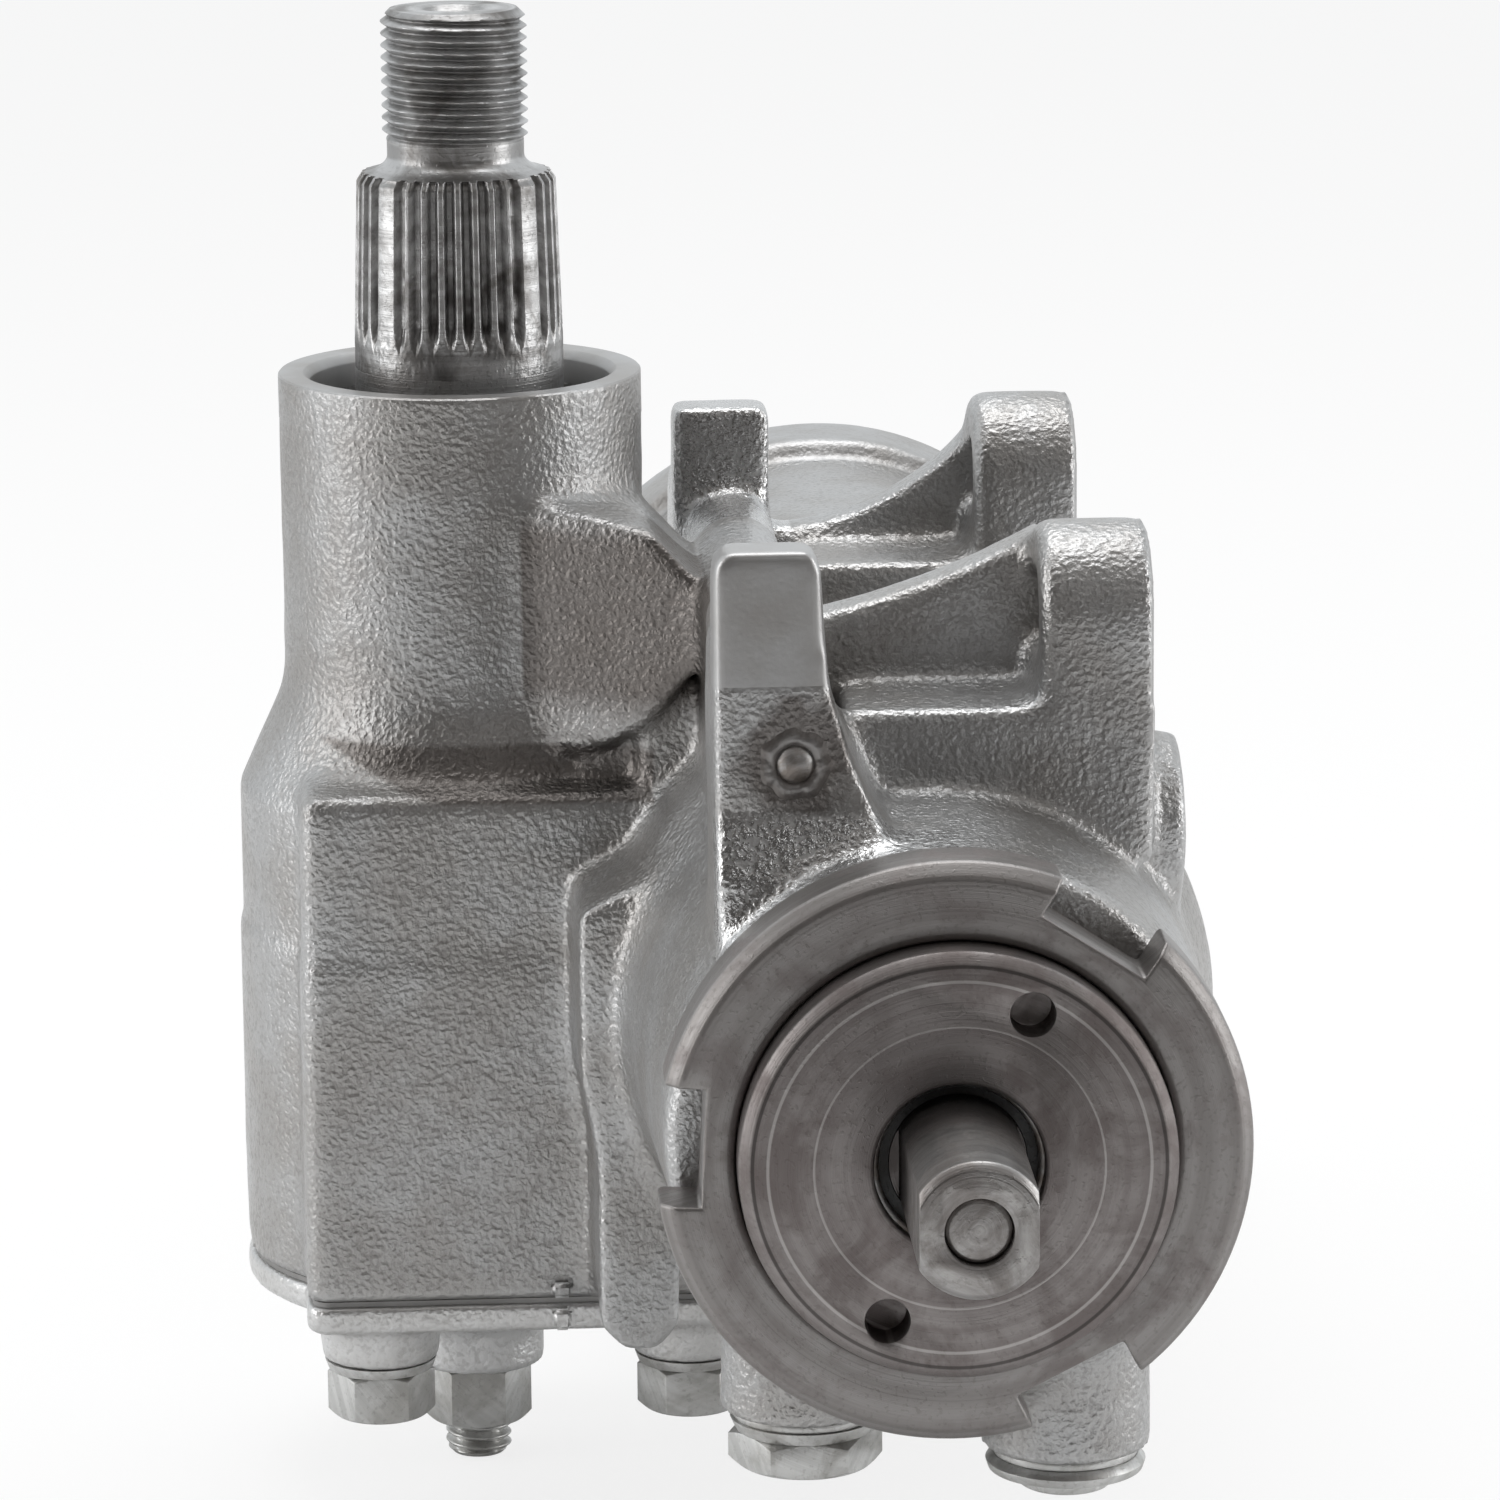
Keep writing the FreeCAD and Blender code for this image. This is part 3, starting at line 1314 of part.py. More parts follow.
def make_sector_shaft():
    half = "sector_half_height"
    thread_low = "(shaft_top - thread_len)"
    profile = [
        ("0", "-shaft_low"), ("trunnion_rad - 1", "-shaft_low"), ("trunnion_rad", "-shaft_low + 1"),
        ("trunnion_rad", "-" + half), ("sector_hub_rad", "-" + half), ("sector_hub_rad", half),
        ("shaft_rad", half),
        ("shaft_rad", SPLINE_LOW + " - 1"), ("spline_low_rad", SPLINE_LOW),
        ("spline_top_rad", SPLINE_TOP + " - 0.6"),
        ("spline_top_rad - 1.2", SPLINE_TOP), ("neck_rad + 1.4", SPLINE_TOP),
        ("neck_rad", SPLINE_TOP + " + 1.4"),
        ("neck_rad", thread_low + " - 0.7"), ("thread_rad", thread_low),
        ("thread_rad", "shaft_top - thread_chamfer"),
        ("thread_rad - thread_chamfer", "shaft_top"), ("centre_bore_rad", "shaft_top"),
        ("centre_bore_rad - 0.6", "shaft_top - centre_bore_len"), ("0", "shaft_top - centre_bore_len - 2"),
    ]
    blank = turned("sector_blank", profile, SECTOR)
    step = 2 * math.pi / value("teeth_round")
    teeth = [involute_tooth(step * index) for index in (-1, 0, 1)]
    gear = teeth[0].fuse(teeth[1:])
    root = value("pitch_rad - tooth_root")
    rim = Part.makeCylinder(root, 2 * value(half), Vector(0, 0, -value(half)), Vector(0, 0, 1), 104)
    rim.rotate(Vector(0, 0, 0), Vector(0, 0, 1), -52)
    gear = gear.fuse(rim)
    gear.translate(Vector(-value("sector_x"), value("sector_y"), 0))
    solid = fuse("sector_solid", [blank, shaped("sector_teeth", gear)])
    head_room = "2 * lash_head_rad + 0.6"
    low = "-shaft_low"
    slot = box(
        "shaft_slot", ("60", "2 * lash_rad + 0.6", "lash_lip + 2"),
        ("-sector_x - 30", "sector_y - lash_rad - 0.3", low + " - 1")
    )
    head = box(
        "shaft_slot_head", ("60", head_room, "lash_head_len + 0.3"),
        ("-sector_x - 30", "sector_y - lash_head_rad - 0.3", low + " + lash_lip")
    )
    keep("sector_shaft", cut("sector_shaft", solid, [slot, head, make_spline_grooves()]))


def make_tube_stack():
    inner = "shaft_rad + run_gap"
    keep(
        "sector_bearing",
        tube(
            "sector_bearing", inner, "sector_bearing_rad", "0", "sector_bearing_len",
            on_sector("bearing_floor + 1"), "+Z"
        )
    )
    rad = "tube_bore_rad - 0.02"
    washer = "sector_washer_len"
    lower = "seal_floor"
    stack = [("sector_seal_washer", lower, washer, "shaft_rad + 0.6")]
    seal_low = "seal_floor + sector_washer_len"
    lip = [
        (inner, "sector_seal_len / 2"), ("shaft_rad + 1.4", "0.02"), (rad, "0.02"),
        (rad, "sector_seal_len - 0.02"),
        ("shaft_rad + 2", "sector_seal_len - 0.02"), (inner, "sector_seal_len / 2 + 1.2"),
    ]
    keep("sector_shaft_seal", turned("sector_shaft_seal", lip, on_sector(seal_low)))
    upper = seal_low + " + sector_seal_len"
    stack.append(("dust_seal_washer", upper, washer, "shaft_rad + 0.6"))
    for node, low, length, hole in stack:
        keep(node, tube(node, hole, rad, "0.01", length + " - 0.01", on_sector(low)))
    dust = [
        (inner, "sector_dust_len - 0.8"), ("shaft_rad + 1.5", "0.02"), (rad, "0.02"),
        (rad, "sector_dust_len - 0.02"), (inner, "sector_dust_len - 0.02"),
    ]
    keep("sector_dust_seal", turned("sector_dust_seal", dust, on_sector(upper + " + sector_washer_len")))
    ring = tube(
        "sector_ring_blank", "tube_bore_rad - 2.4", "tube_bore_rad + sector_ring_depth - 0.1", "0.05",
        "sector_ring_len + 0.05", on_sector(RING_LOW)
    )
    gap = box("sector_ring_gap", ("6", "30", "6"), ("-sector_x - 3", "sector_y", RING_LOW + " - 2"))
    keep("sector_retaining_ring", cut("sector_retaining_ring", ring, [gap]))


COVER_TOP = "(-cover_plane - seal_thick)"
COVER_UNDER = "(-cover_plane - seal_thick - cover_thick)"
PAD_UNDER = "(-cover_plane - seal_thick - cover_thick - cover_pad_len)"


def make_side_cover():
    top = value(COVER_TOP)
    under = value(COVER_UNDER)
    plate_shape = case_slab(value("case_step"), under, top)
    plate_shape = plate_shape.makeFillet(
        1.2, [edge for edge in plate_shape.Edges if edge.BoundBox.ZMax < under + 0.001]
    )
    plate = shaped("cover_plate", plate_shape)
    body = [
        ("cover_floor_rad", "cover_hub_len"), ("cover_hub_rad", "cover_hub_len"), ("cover_hub_rad", "-1"),
        ("cover_dome_rad + 3", "-cover_thick + 0.5"), ("cover_dome_rad", "-cover_thick - 1"),
        ("cover_spout_rad + 2", "-cover_thick - 7"), ("cover_spout_rad", "-cover_thick - 8.5"),
        ("cover_spout_rad", SPOUT_LOW), ("lash_rad + fit_gap", SPOUT_LOW),
        ("lash_rad + fit_gap", FLOOR_LOW), ("cover_floor_rad", FLOOR_LOW),
    ]
    hub = turned("cover_hub", body, on_sector(COVER_TOP))
    pads = []
    for side in COVER_BOLTS:
        name = "cover_pad_%d_%d" % (side[0] + 1, side[1] + 1)
        pads.append(
            cone(
                name, "cover_pad_rad", "cover_pad_rad + 0.8", "cover_pad_len + 1",
                cover_bolt_place(side, PAD_UNDER)
            )
        )
    solid = fuse("cover_solid", [plate, hub] + pads)
    tools = [cylinder("cover_well", "cover_floor_rad", "cover_hub_len + 10", on_sector("-cover_floor"))]
    tools.append(cylinder("cover_screw_bore", "lash_rad + fit_gap", "40", on_sector("-cover_floor - 30")))
    for side in COVER_BOLTS:
        name = "cover_bolt_hole_%d_%d" % (side[0] + 1, side[1] + 1)
        tools.append(
            cylinder(
                name, "cover_bolt_rad + wide_gap", "cover_pad_len + cover_thick + 4",
                cover_bolt_place(side, PAD_UNDER + " - 2")
            )
        )
    keep("side_cover", cut("side_cover", solid, tools))

    plane = -value("cover_plane")
    seal = case_slab(-value("seal_inset"), plane - value("seal_thick"), plane)
    seal_tools = [cylinder("gasket_well", "hub_well_rad", "4", on_sector("-cover_plane - 2"))]
    seal_tools.append(swept_room("gasket_room", "insert_half_width", "cover_plane + 2", "0"))
    for side in COVER_BOLTS:
        name = "gasket_bolt_hole_%d_%d" % (side[0] + 1, side[1] + 1)
        seal_tools.append(
            cylinder(name, "cover_bolt_rad + wide_gap", "6", cover_bolt_place(side, "-cover_plane - 3"))
        )
    keep("side_cover_gasket", cut("side_cover_gasket", shaped("gasket_blank", seal), seal_tools))

    bushing = tube(
        "sector_bushing", "trunnion_rad + run_gap", "cover_floor_rad - 0.02", "0", "cover_hub_len - 1",
        on_sector(COVER_TOP)
    )
    keep("sector_bushing", bushing)
    bolts = []
    for side in COVER_BOLTS:
        name = "cover_bolt_%d_%d" % (side[0] + 1, side[1] + 1)
        bolts.append(hex_bolt(name, cover_bolt_place(side, PAD_UNDER)))
    keep("side_cover_bolts", group("side_cover_bolts", bolts))


SPOUT_LOW = "(cover_plane + seal_thick - cover_spout_low)"
FLOOR_LOW = "(cover_plane + seal_thick - cover_floor)"


def hex_blank(name, across, length, at, along):
    # A hexagon whose end corners are turned off.
    prism = hexagon(name + "_prism", across, length, at, along)
    corner = "(%s) / 2" % across
    profile = [
        ("0", "0"), (corner + " - 0.2", "0"), (corner + " * 1.155 + 0.01", corner + " * 0.1"),
        (corner + " * 1.155 + 0.01", "%s - %s * 0.1" % (length, corner)), (corner + " - 0.2", length),
        ("0", length),
    ]
    return common(name + "_hex", prism, turned(name + "_round", profile, at, along))


def hex_bolt(name, at):
    x, y, z = at
    shank = cylinder(name + "_shank", "cover_bolt_rad", "cover_bolt_grip", at)
    flange = cone(
        name + "_flange", "cover_bolt_flange_rad - 0.6", "cover_bolt_flange_rad", "cover_bolt_flange",
        (x, y, z + " - cover_bolt_flange")
    )
    head = hex_blank(
        name + "_head", "cover_bolt_af", "cover_bolt_head",
        (x, y, z + " - cover_bolt_flange - cover_bolt_head"), "+Z"
    )
    return fuse(name, [shank, flange, head])


def make_lash_adjuster():
    top = "(-shaft_low + lash_lip + lash_head_len)"
    profile = [
        ("0", "-lash_end"), ("lash_rad - 1", "-lash_end"), ("lash_rad", "-lash_end + 1"),
        ("lash_rad", top + " - lash_head_len"),
        ("lash_head_rad", top + " - lash_head_len"), ("lash_head_rad", top), ("0", top),
    ]
    blank = turned("lash_blank", profile, SECTOR)
    slot = box(
        "lash_slot", ("2 * lash_rad + 2", "1.6", "3"),
        ("-sector_x - lash_rad - 1", "sector_y - 0.8", "-lash_end - 1")
    )
    keep("lash_adjuster_screw", cut("lash_adjuster_screw", blank, [slot]))
    low = "-cover_spout_low - lash_nut_len"
    nut = hex_blank("lash_nut", "lash_nut_af", "lash_nut_len", on_sector(low), "+Z")
    bore = cylinder("lash_nut_bore", "lash_rad + run_gap", "lash_nut_len + 2", on_sector(low + " - 1"))
    keep("lash_adjuster_nut", cut("lash_adjuster_nut", nut, [bore]))


def make_ports():
    for name, x, low in (
        ("left", "-port_left_x", "-port_left_low"), ("right", "port_right_x", "-port_right_low")
    ):
        washer = tube(
            name + "_washer", "port_bore_rad + 0.05", "port_flange_rad - 0.4", "0", "port_washer - 0.01",
            (x, "port_y", low + " - port_washer")
        )
        keep("port_washer_" + name, washer)
    stem = cylinder(
        "port_plug_stem", "port_bore_rad - run_gap", "port_depth - 2 + port_washer",
        ("-port_left_x", "port_y", "-port_left_low - port_washer")
    )
    flange = cone(
        "port_plug_flange", "port_flange_rad - 0.8", "port_flange_rad", "1.8",
        ("-port_left_x", "port_y", "-port_left_low - port_washer - 1.8")
    )
    head = hex_blank(
        "port_plug_head", "port_hex_af", "port_hex_len",
        ("-port_left_x", "port_y", "-port_left_low - port_washer - 1.8 - port_hex_len"), "+Z"
    )
    dimple = cylinder(
        "port_plug_dimple", "4", "2",
        ("-port_left_x", "port_y", "-port_left_low - port_washer - 1.8 - port_hex_len - 0.5")
    )
    keep(
        "pressure_port_plug",
        cut("pressure_port_plug", fuse("port_plug_solid", [stem, flange, head]), [dimple])
    )
    under = "-port_right_low - port_washer"
    cap_stem = cylinder(
        "port_cap_stem", "port_bore_rad - run_gap", "port_depth - 2 + port_washer",
        ("port_right_x", "port_y", under)
    )
    cap_flange = turned("port_cap_flange", [
        ("0", "0"), ("cap_flange_rad - 1", "0"), ("cap_flange_rad", "-1"),
        ("cap_flange_rad - 0.4", "-cap_flange_len + 0.4"),
        ("cap_flange_rad - 1.6", "-cap_flange_len"), ("0", "-cap_flange_len"),
    ], ("port_right_x", "port_y", under))
    cap_hex = hex_blank(
        "port_cap_head", "cap_hex_af", "cap_hex_len",
        ("port_right_x", "port_y", under + " - cap_flange_len - cap_hex_len"), "+Z"
    )
    cap_slot = box(
        "port_cap_slot", ("cap_hex_af + 4", "cap_slot", "cap_hex_len"),
        (
            "port_right_x - cap_hex_af / 2 - 2", "port_y - cap_slot / 2",
            under + " - cap_flange_len - cap_hex_len - 0.2"
        )
    )
    keep(
        "return_port_cap",
        cut("return_port_cap", fuse("port_cap_solid", [cap_stem, cap_flange, cap_hex]), [cap_slot])
    )
    seats = []
    for index, (x, low) in enumerate(
        (("-port_left_x", "-port_left_low"), ("port_right_x", "-port_right_low"))
    ):
        seat = [
            ("port_seat_bore", "0"), ("port_seat_rad - 0.02", "0"), ("port_seat_rad - 0.02", "5.98"),
            ("port_seat_bore", "5.98"), ("port_seat_bore - 0.8", "4"), ("port_seat_bore - 0.8", "1.4"),
        ]
        seats.append(turned("port_seat_%d" % index, seat, (x, "port_y", low + " + port_depth")))
    keep("port_seats", group("port_seats", seats))


def make_rear_end():
    seal_low = "6"
    root = "end_plug_rad + fit_gap - 2 * plug_seal_wire"
    profile = [
        ("0", "0"), ("end_plug_rad - 1", "0"), ("end_plug_rad", "1"), ("end_plug_rad", seal_low),
        (root, seal_low),
        (root, seal_low + " + 3"), ("end_plug_rad", seal_low + " + 3"),
        ("end_plug_rad", "end_plug_len - 0.02"),
        ("end_plug_rad - 8", "end_plug_len - 0.02"), ("end_plug_rad - 11", "end_plug_len - 4"),
        ("9", "end_plug_len - 4"), ("8", "end_plug_len"), ("0", "end_plug_len"),
    ]
    keep("rear_end_plug", turned("rear_end_plug", profile, station(END_PLUG_FRONT), "+Y"))
    keep(
        "rear_end_seal",
        torus(
            "rear_end_seal", "end_plug_rad + fit_gap - plug_seal_wire", "plug_seal_wire - 0.02",
            station(END_PLUG_FRONT + " + 7.5"), "+Y"
        )
    )
    ring = tube(
        "rear_ring_blank", "end_plug_rad - 3.4", "end_plug_rad + end_ring_depth - 0.05", "0.03",
        "end_ring_len", station(END_PLUG_FRONT + " + end_plug_len"), "+Y"
    )
    gap = box("rear_ring_gap", ("5", "10", "60"), ("-2.5", END_PLUG_FRONT + " + end_plug_len - 3", "-60"))
    keep("rear_retaining_ring", cut("rear_retaining_ring", ring, [gap]))


def make_oil_ball():
    ball = doc.addObject("Part::Sphere", "oil_passage_ball")
    ball.setExpression("Radius", cells("oil_ball_rad - 0.02"))
    keep(
        "oil_passage_ball", place(ball, ("-oil_ball_x", "front_left_y - ear_rad + 2.2", "oil_ball_height"))
    )


make_housing()
make_adjuster_plug()
make_locknut()
make_input_end()
make_thrust_bearing("upper_thrust_bearing", PLUG_BACK, "input_journal_rad + 0.5", "valve_rad - 3")
make_thrust_bearing("lower_thrust_bearing", HEAD_BACK, "worm_neck_rad + 0.3", "worm_head_rad")
make_valve_body()
make_worm()
make_piston()
make_sector_shaft()
make_tube_stack()
make_side_cover()
make_lash_adjuster()
make_ports()
make_rear_end()
make_oil_ball()
doc.recompute()

faults = [thing.Name for thing in doc.Objects if "Invalid" in thing.State or "Error" in thing.State]
for node, thing in NODES.items():
    if thing.Shape.isNull() or not thing.Shape.isValid() or thing.Shape.Volume <= 0:
        faults.append(node)
if faults:
    raise RuntimeError("These forms failed: " + ", ".join(faults))

os.makedirs("parts", exist_ok=True)
for node, thing in NODES.items():
    thing.Shape.exportStep("parts/%s.step" % node)
    print(node, len(thing.Shape.Solids), round(thing.Shape.Volume))
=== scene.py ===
import math

import bmesh
import bpy
import numpy as np
from mathutils import Matrix, Vector


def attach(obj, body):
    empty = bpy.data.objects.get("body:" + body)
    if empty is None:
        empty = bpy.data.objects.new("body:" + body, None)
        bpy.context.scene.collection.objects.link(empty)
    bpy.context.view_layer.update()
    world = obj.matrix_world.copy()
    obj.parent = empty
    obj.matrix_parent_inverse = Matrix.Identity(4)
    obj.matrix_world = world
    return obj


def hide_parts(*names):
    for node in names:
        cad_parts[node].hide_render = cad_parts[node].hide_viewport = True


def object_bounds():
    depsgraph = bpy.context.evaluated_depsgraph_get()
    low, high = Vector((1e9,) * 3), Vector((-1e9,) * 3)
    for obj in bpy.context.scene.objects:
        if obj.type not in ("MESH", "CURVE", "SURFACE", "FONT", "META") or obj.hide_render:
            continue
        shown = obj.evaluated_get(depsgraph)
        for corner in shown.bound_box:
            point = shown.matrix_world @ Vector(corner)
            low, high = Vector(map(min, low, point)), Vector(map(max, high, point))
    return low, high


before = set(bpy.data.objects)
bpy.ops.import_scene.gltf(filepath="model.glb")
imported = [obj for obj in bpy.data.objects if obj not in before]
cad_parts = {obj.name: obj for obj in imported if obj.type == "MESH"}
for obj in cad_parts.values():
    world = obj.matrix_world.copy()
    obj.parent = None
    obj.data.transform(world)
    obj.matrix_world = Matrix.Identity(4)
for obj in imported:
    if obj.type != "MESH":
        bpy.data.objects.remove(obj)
cad_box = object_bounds()
scene = bpy.context.scene
scene.view_settings.view_transform = "Standard"


# Studio. A white table and a white surround, brighter behind and beside the gearbox than in
# front of it, so that its front faces stay darker than its flanks.
GEAR_DATUM = (32, 110.5, 64.7)


def gear_point(x, y, z):
    """A place in millimetres from the worm's axis and the locknut's face."""
    return Vector([(told - start) / 1000 for told, start in zip((x, y, z), GEAR_DATUM)])


def put(tree, kind, wires=None, **settings):
    """Adds a shader node, sets it and wires its inputs; a number is set as it is."""
    node = tree.nodes.new(kind)
    for key, value in settings.items():
        setattr(node, key, value)
    for socket, source in (wires or {}).items():
        if isinstance(source, (int, float, tuple)):
            node.inputs[socket].default_value = source
        else:
            tree.links.new(source, node.inputs[socket])
    return node


def sum_of(tree, first, second, kind="ADD"):
    """Two values put together by one step of arithmetic."""
    return put(tree, "ShaderNodeMath", {0: first, 1: second}, operation=kind).outputs[0]


def blend_colour(tree, share, low, high):
    """A colour from low to high as share goes from 0 to 1."""
    return put(tree, "ShaderNodeMix", {0: share, 6: low, 7: high}, data_type="RGBA").outputs[2]


def ramp_between(tree, value, low, high, start=0.0, end=1.0, kind="SMOOTHSTEP"):
    """A value from start to end as another goes from low to high."""
    wires = {"Value": value, "From Min": low, "From Max": high, "To Min": start, "To Max": end}
    return put(tree, "ShaderNodeMapRange", wires, interpolation_type=kind).outputs[0]


camera_data = bpy.data.cameras.new("photo_view")
camera_data.sensor_width = 36
camera_data.lens = 165.24
camera = bpy.data.objects.new("photo_view", camera_data)
right = Vector((0.99846, -0.05477, -0.00874))
up = Vector((0.02049, 0.21782, 0.97577))
back = Vector((-0.05154, -0.97445, 0.21861))
turn = Matrix((right, up, back)).transposed().to_4x4()
camera.matrix_world = Matrix.Translation((-0.1076, -1.0145, 0.1957)) @ turn
scene.collection.objects.link(camera)
scene.camera = camera

table_level = cad_box[0][2] - 0.0004
table_mesh = bpy.data.meshes.new("studio_table")
table_mesh.from_pydata(
    [(-6, -6, table_level), (6, -6, table_level), (6, 6, table_level), (-6, 6, table_level)],
    [],
    [(0, 1, 2, 3)],
)
table = bpy.data.objects.new("studio_table", table_mesh)
scene.collection.objects.link(table)
paper = bpy.data.materials.new("studio_paper")
paper.use_nodes = True
paper_tree = paper.node_tree
paper_tree.nodes.clear()
paper_place = put(paper_tree, "ShaderNodeTexCoord").outputs["Object"]
paper_y = put(paper_tree, "ShaderNodeSeparateXYZ", {0: paper_place}).outputs["Y"]
paper_fade = ramp_between(paper_tree, paper_y, -1.1, -0.4, kind="LINEAR")
paper_tone = blend_colour(paper_tree, paper_fade, (0.3, 0.28, 0.27, 1), (0.92, 0.92, 0.92, 1))
paper_matt = put(paper_tree, "ShaderNodeBsdfDiffuse", {"Color": paper_tone}).outputs[0]
paper_white = put(paper_tree, "ShaderNodeEmission", {"Color": (1, 1, 1, 1)}).outputs[0]
paper_rays = put(paper_tree, "ShaderNodeLightPath").outputs
paper_share = sum_of(paper_tree, paper_rays["Is Camera Ray"], paper_rays["Is Transmission Ray"], "MAXIMUM")
paper_glow = sum_of(paper_tree, paper_share, 0.8, "MULTIPLY")
paper_seen = put(
    paper_tree, "ShaderNodeMixShader", {0: paper_glow, 1: paper_matt, 2: paper_white}
).outputs[0]
put(paper_tree, "ShaderNodeOutputMaterial", {0: paper_seen})
table_mesh.materials.append(paper)

surround = bpy.data.worlds.new("studio_surround")
scene.world = surround
surround.use_nodes = True
sky_tree = surround.node_tree
sky_tree.nodes.clear()
sky_way = put(sky_tree, "ShaderNodeTexCoord").outputs["Generated"]
sky_y = put(sky_tree, "ShaderNodeSeparateXYZ", {0: sky_way}).outputs["Y"]
sky_level = ramp_between(sky_tree, sky_y, -0.8, 0.3, 0.05, 1.0)
sky_tint = blend_colour(sky_tree, sky_level, (1.0, 0.9, 0.82, 1), (0.95, 0.98, 1.0, 1))
sky_light = put(sky_tree, "ShaderNodeBackground", {"Color": sky_tint, "Strength": sky_level}).outputs[0]
sky_white = put(sky_tree, "ShaderNodeBackground", {"Color": (1, 1, 1, 1)}).outputs[0]
sky_rays = put(sky_tree, "ShaderNodeLightPath").outputs["Is Camera Ray"]
sky_seen = put(sky_tree, "ShaderNodeMixShader", {0: sky_rays, 1: sky_light, 2: sky_white}).outputs[0]
put(sky_tree, "ShaderNodeOutputWorld", {0: sky_seen})


def softbox(name, place, aim, width, height, power):
    """One diffuser panel that faces the gearbox."""
    data = bpy.data.lights.new(name, "AREA")
    data.shape = "RECTANGLE"
    data.size = width
    data.size_y = height
    data.energy = power
    lamp = bpy.data.objects.new(name, data)
    lamp.location = place
    lamp.rotation_euler = (Vector(aim) - Vector(place)).to_track_quat("-Z", "Y").to_euler()
    scene.collection.objects.link(lamp)


softbox("overhead_panel", (-0.05, 0.25, 1.1), (-0.03, 0.0, -0.02), 0.9, 0.7, 6.0)
softbox("left_panel", (-1.1, -0.15, 0.25), (-0.05, 0.0, -0.02), 0.5, 0.9, 4.0)
softbox("right_panel", (1.1, -0.1, 0.2), (0.0, 0.0, -0.02), 0.5, 0.9, 4.1)
softbox("front_fill", (0.25, -1.3, 0.75), (-0.03, 0.0, -0.02), 0.35, 0.25, 0.75)


# Gear housing. One grey iron casting with sand-cast skin under a coat of satin silver-grey
# paint; its edges are rounded and its corners filleted, and the joint faces are milled.
def new_group(name, inputs, outputs):
    """An empty shader group with float, colour or vector sockets."""
    group = bpy.data.node_groups.new(name, "ShaderNodeTree")
    for label, kind, value in inputs:
        socket = group.interface.new_socket(label, in_out="INPUT", socket_type=kind)
        socket.default_value = value
    for label, kind in outputs:
        group.interface.new_socket(label, in_out="OUTPUT", socket_type=kind)
    return group, group.nodes.new("NodeGroupInput"), group.nodes.new("NodeGroupOutput")


FLOAT = "NodeSocketFloat"
VECTOR = "NodeSocketVector"

sand_skin, skin_in, skin_out = new_group(
    "Sand cast skin",
    [("Grain size", FLOAT, 620.0), ("Smooth share", FLOAT, 0.0)],
    [("Height", FLOAT), ("Hollows", FLOAT), ("Blotches", FLOAT)],
)
skin_place = put(sand_skin, "ShaderNodeTexCoord").outputs["Object"]
skin_pebbles = put(
    sand_skin,
    "ShaderNodeTexNoise",
    {"Vector": skin_place, "Scale": skin_in.outputs["Grain size"], "Detail": 2.0, "Roughness": 0.5},
).outputs[0]
skin_coarse = put(
    sand_skin, "ShaderNodeTexNoise", {"Vector": skin_place, "Scale": 330.0, "Detail": 1.0, "Roughness": 0.5}
).outputs[0]
skin_blotch = put(
    sand_skin, "ShaderNodeTexNoise", {"Vector": skin_place, "Scale": 45.0, "Detail": 4.0, "Roughness": 0.6}
).outputs[0]
skin_cell_scale = sum_of(sand_skin, skin_in.outputs["Grain size"], 0.62, "MULTIPLY")
skin_cells = put(
    sand_skin,
    "ShaderNodeTexVoronoi",
    {"Vector": skin_place, "Scale": skin_cell_scale, "Smoothness": 0.5},
    feature="SMOOTH_F1",
).outputs["Distance"]
skin_domes = ramp_between(sand_skin, skin_cells, 0.75, 0.1)
skin_grit = sum_of(sand_skin, ramp_between(sand_skin, skin_pebbles, 0.2, 0.8), 0.6, "MULTIPLY")
skin_crisp = sum_of(sand_skin, skin_grit, sum_of(sand_skin, skin_domes, 0.5, "MULTIPLY"))
skin_level = sum_of(sand_skin, skin_crisp, sum_of(sand_skin, skin_coarse, 0.5, "MULTIPLY"))
skin_rest = sum_of(sand_skin, 1.0, skin_in.outputs["Smooth share"], "SUBTRACT")
sand_skin.links.new(sum_of(sand_skin, skin_level, skin_rest, "MULTIPLY"), skin_out.inputs["Height"])
skin_pits = sum_of(sand_skin, ramp_between(sand_skin, skin_level, 0.72, 0.4), skin_rest, "MULTIPLY")
sand_skin.links.new(skin_pits, skin_out.inputs["Hollows"])
sand_skin.links.new(ramp_between(sand_skin, skin_blotch, 0.38, 0.64), skin_out.inputs["Blotches"])


def surface(name, slot, metallic=0.9):
    """A material with its shader; the caller wires colour, roughness and bump."""
    made = bpy.data.materials.new(name)
    made.use_nodes = True
    shader = made.node_tree.nodes["Principled BSDF"]
    shader.inputs["Metallic"].default_value = metallic
    made["slot"] = slot
    return made, made.node_tree, shader


def bumped(tree, shader, height, distance):
    """Gives a shader relief of this height in metres."""
    bump = put(tree, "ShaderNodeBump", {"Height": height, "Distance": distance, "Strength": 1.0})
    tree.links.new(bump.outputs[0], shader.inputs["Normal"])


def attribute(tree, label):
    """A mask that a mesh carries at its points."""
    return put(tree, "ShaderNodeAttribute", attribute_name=label).outputs["Fac"]


def part_of(tree, value, share):
    return sum_of(tree, value, share, "MULTIPLY")


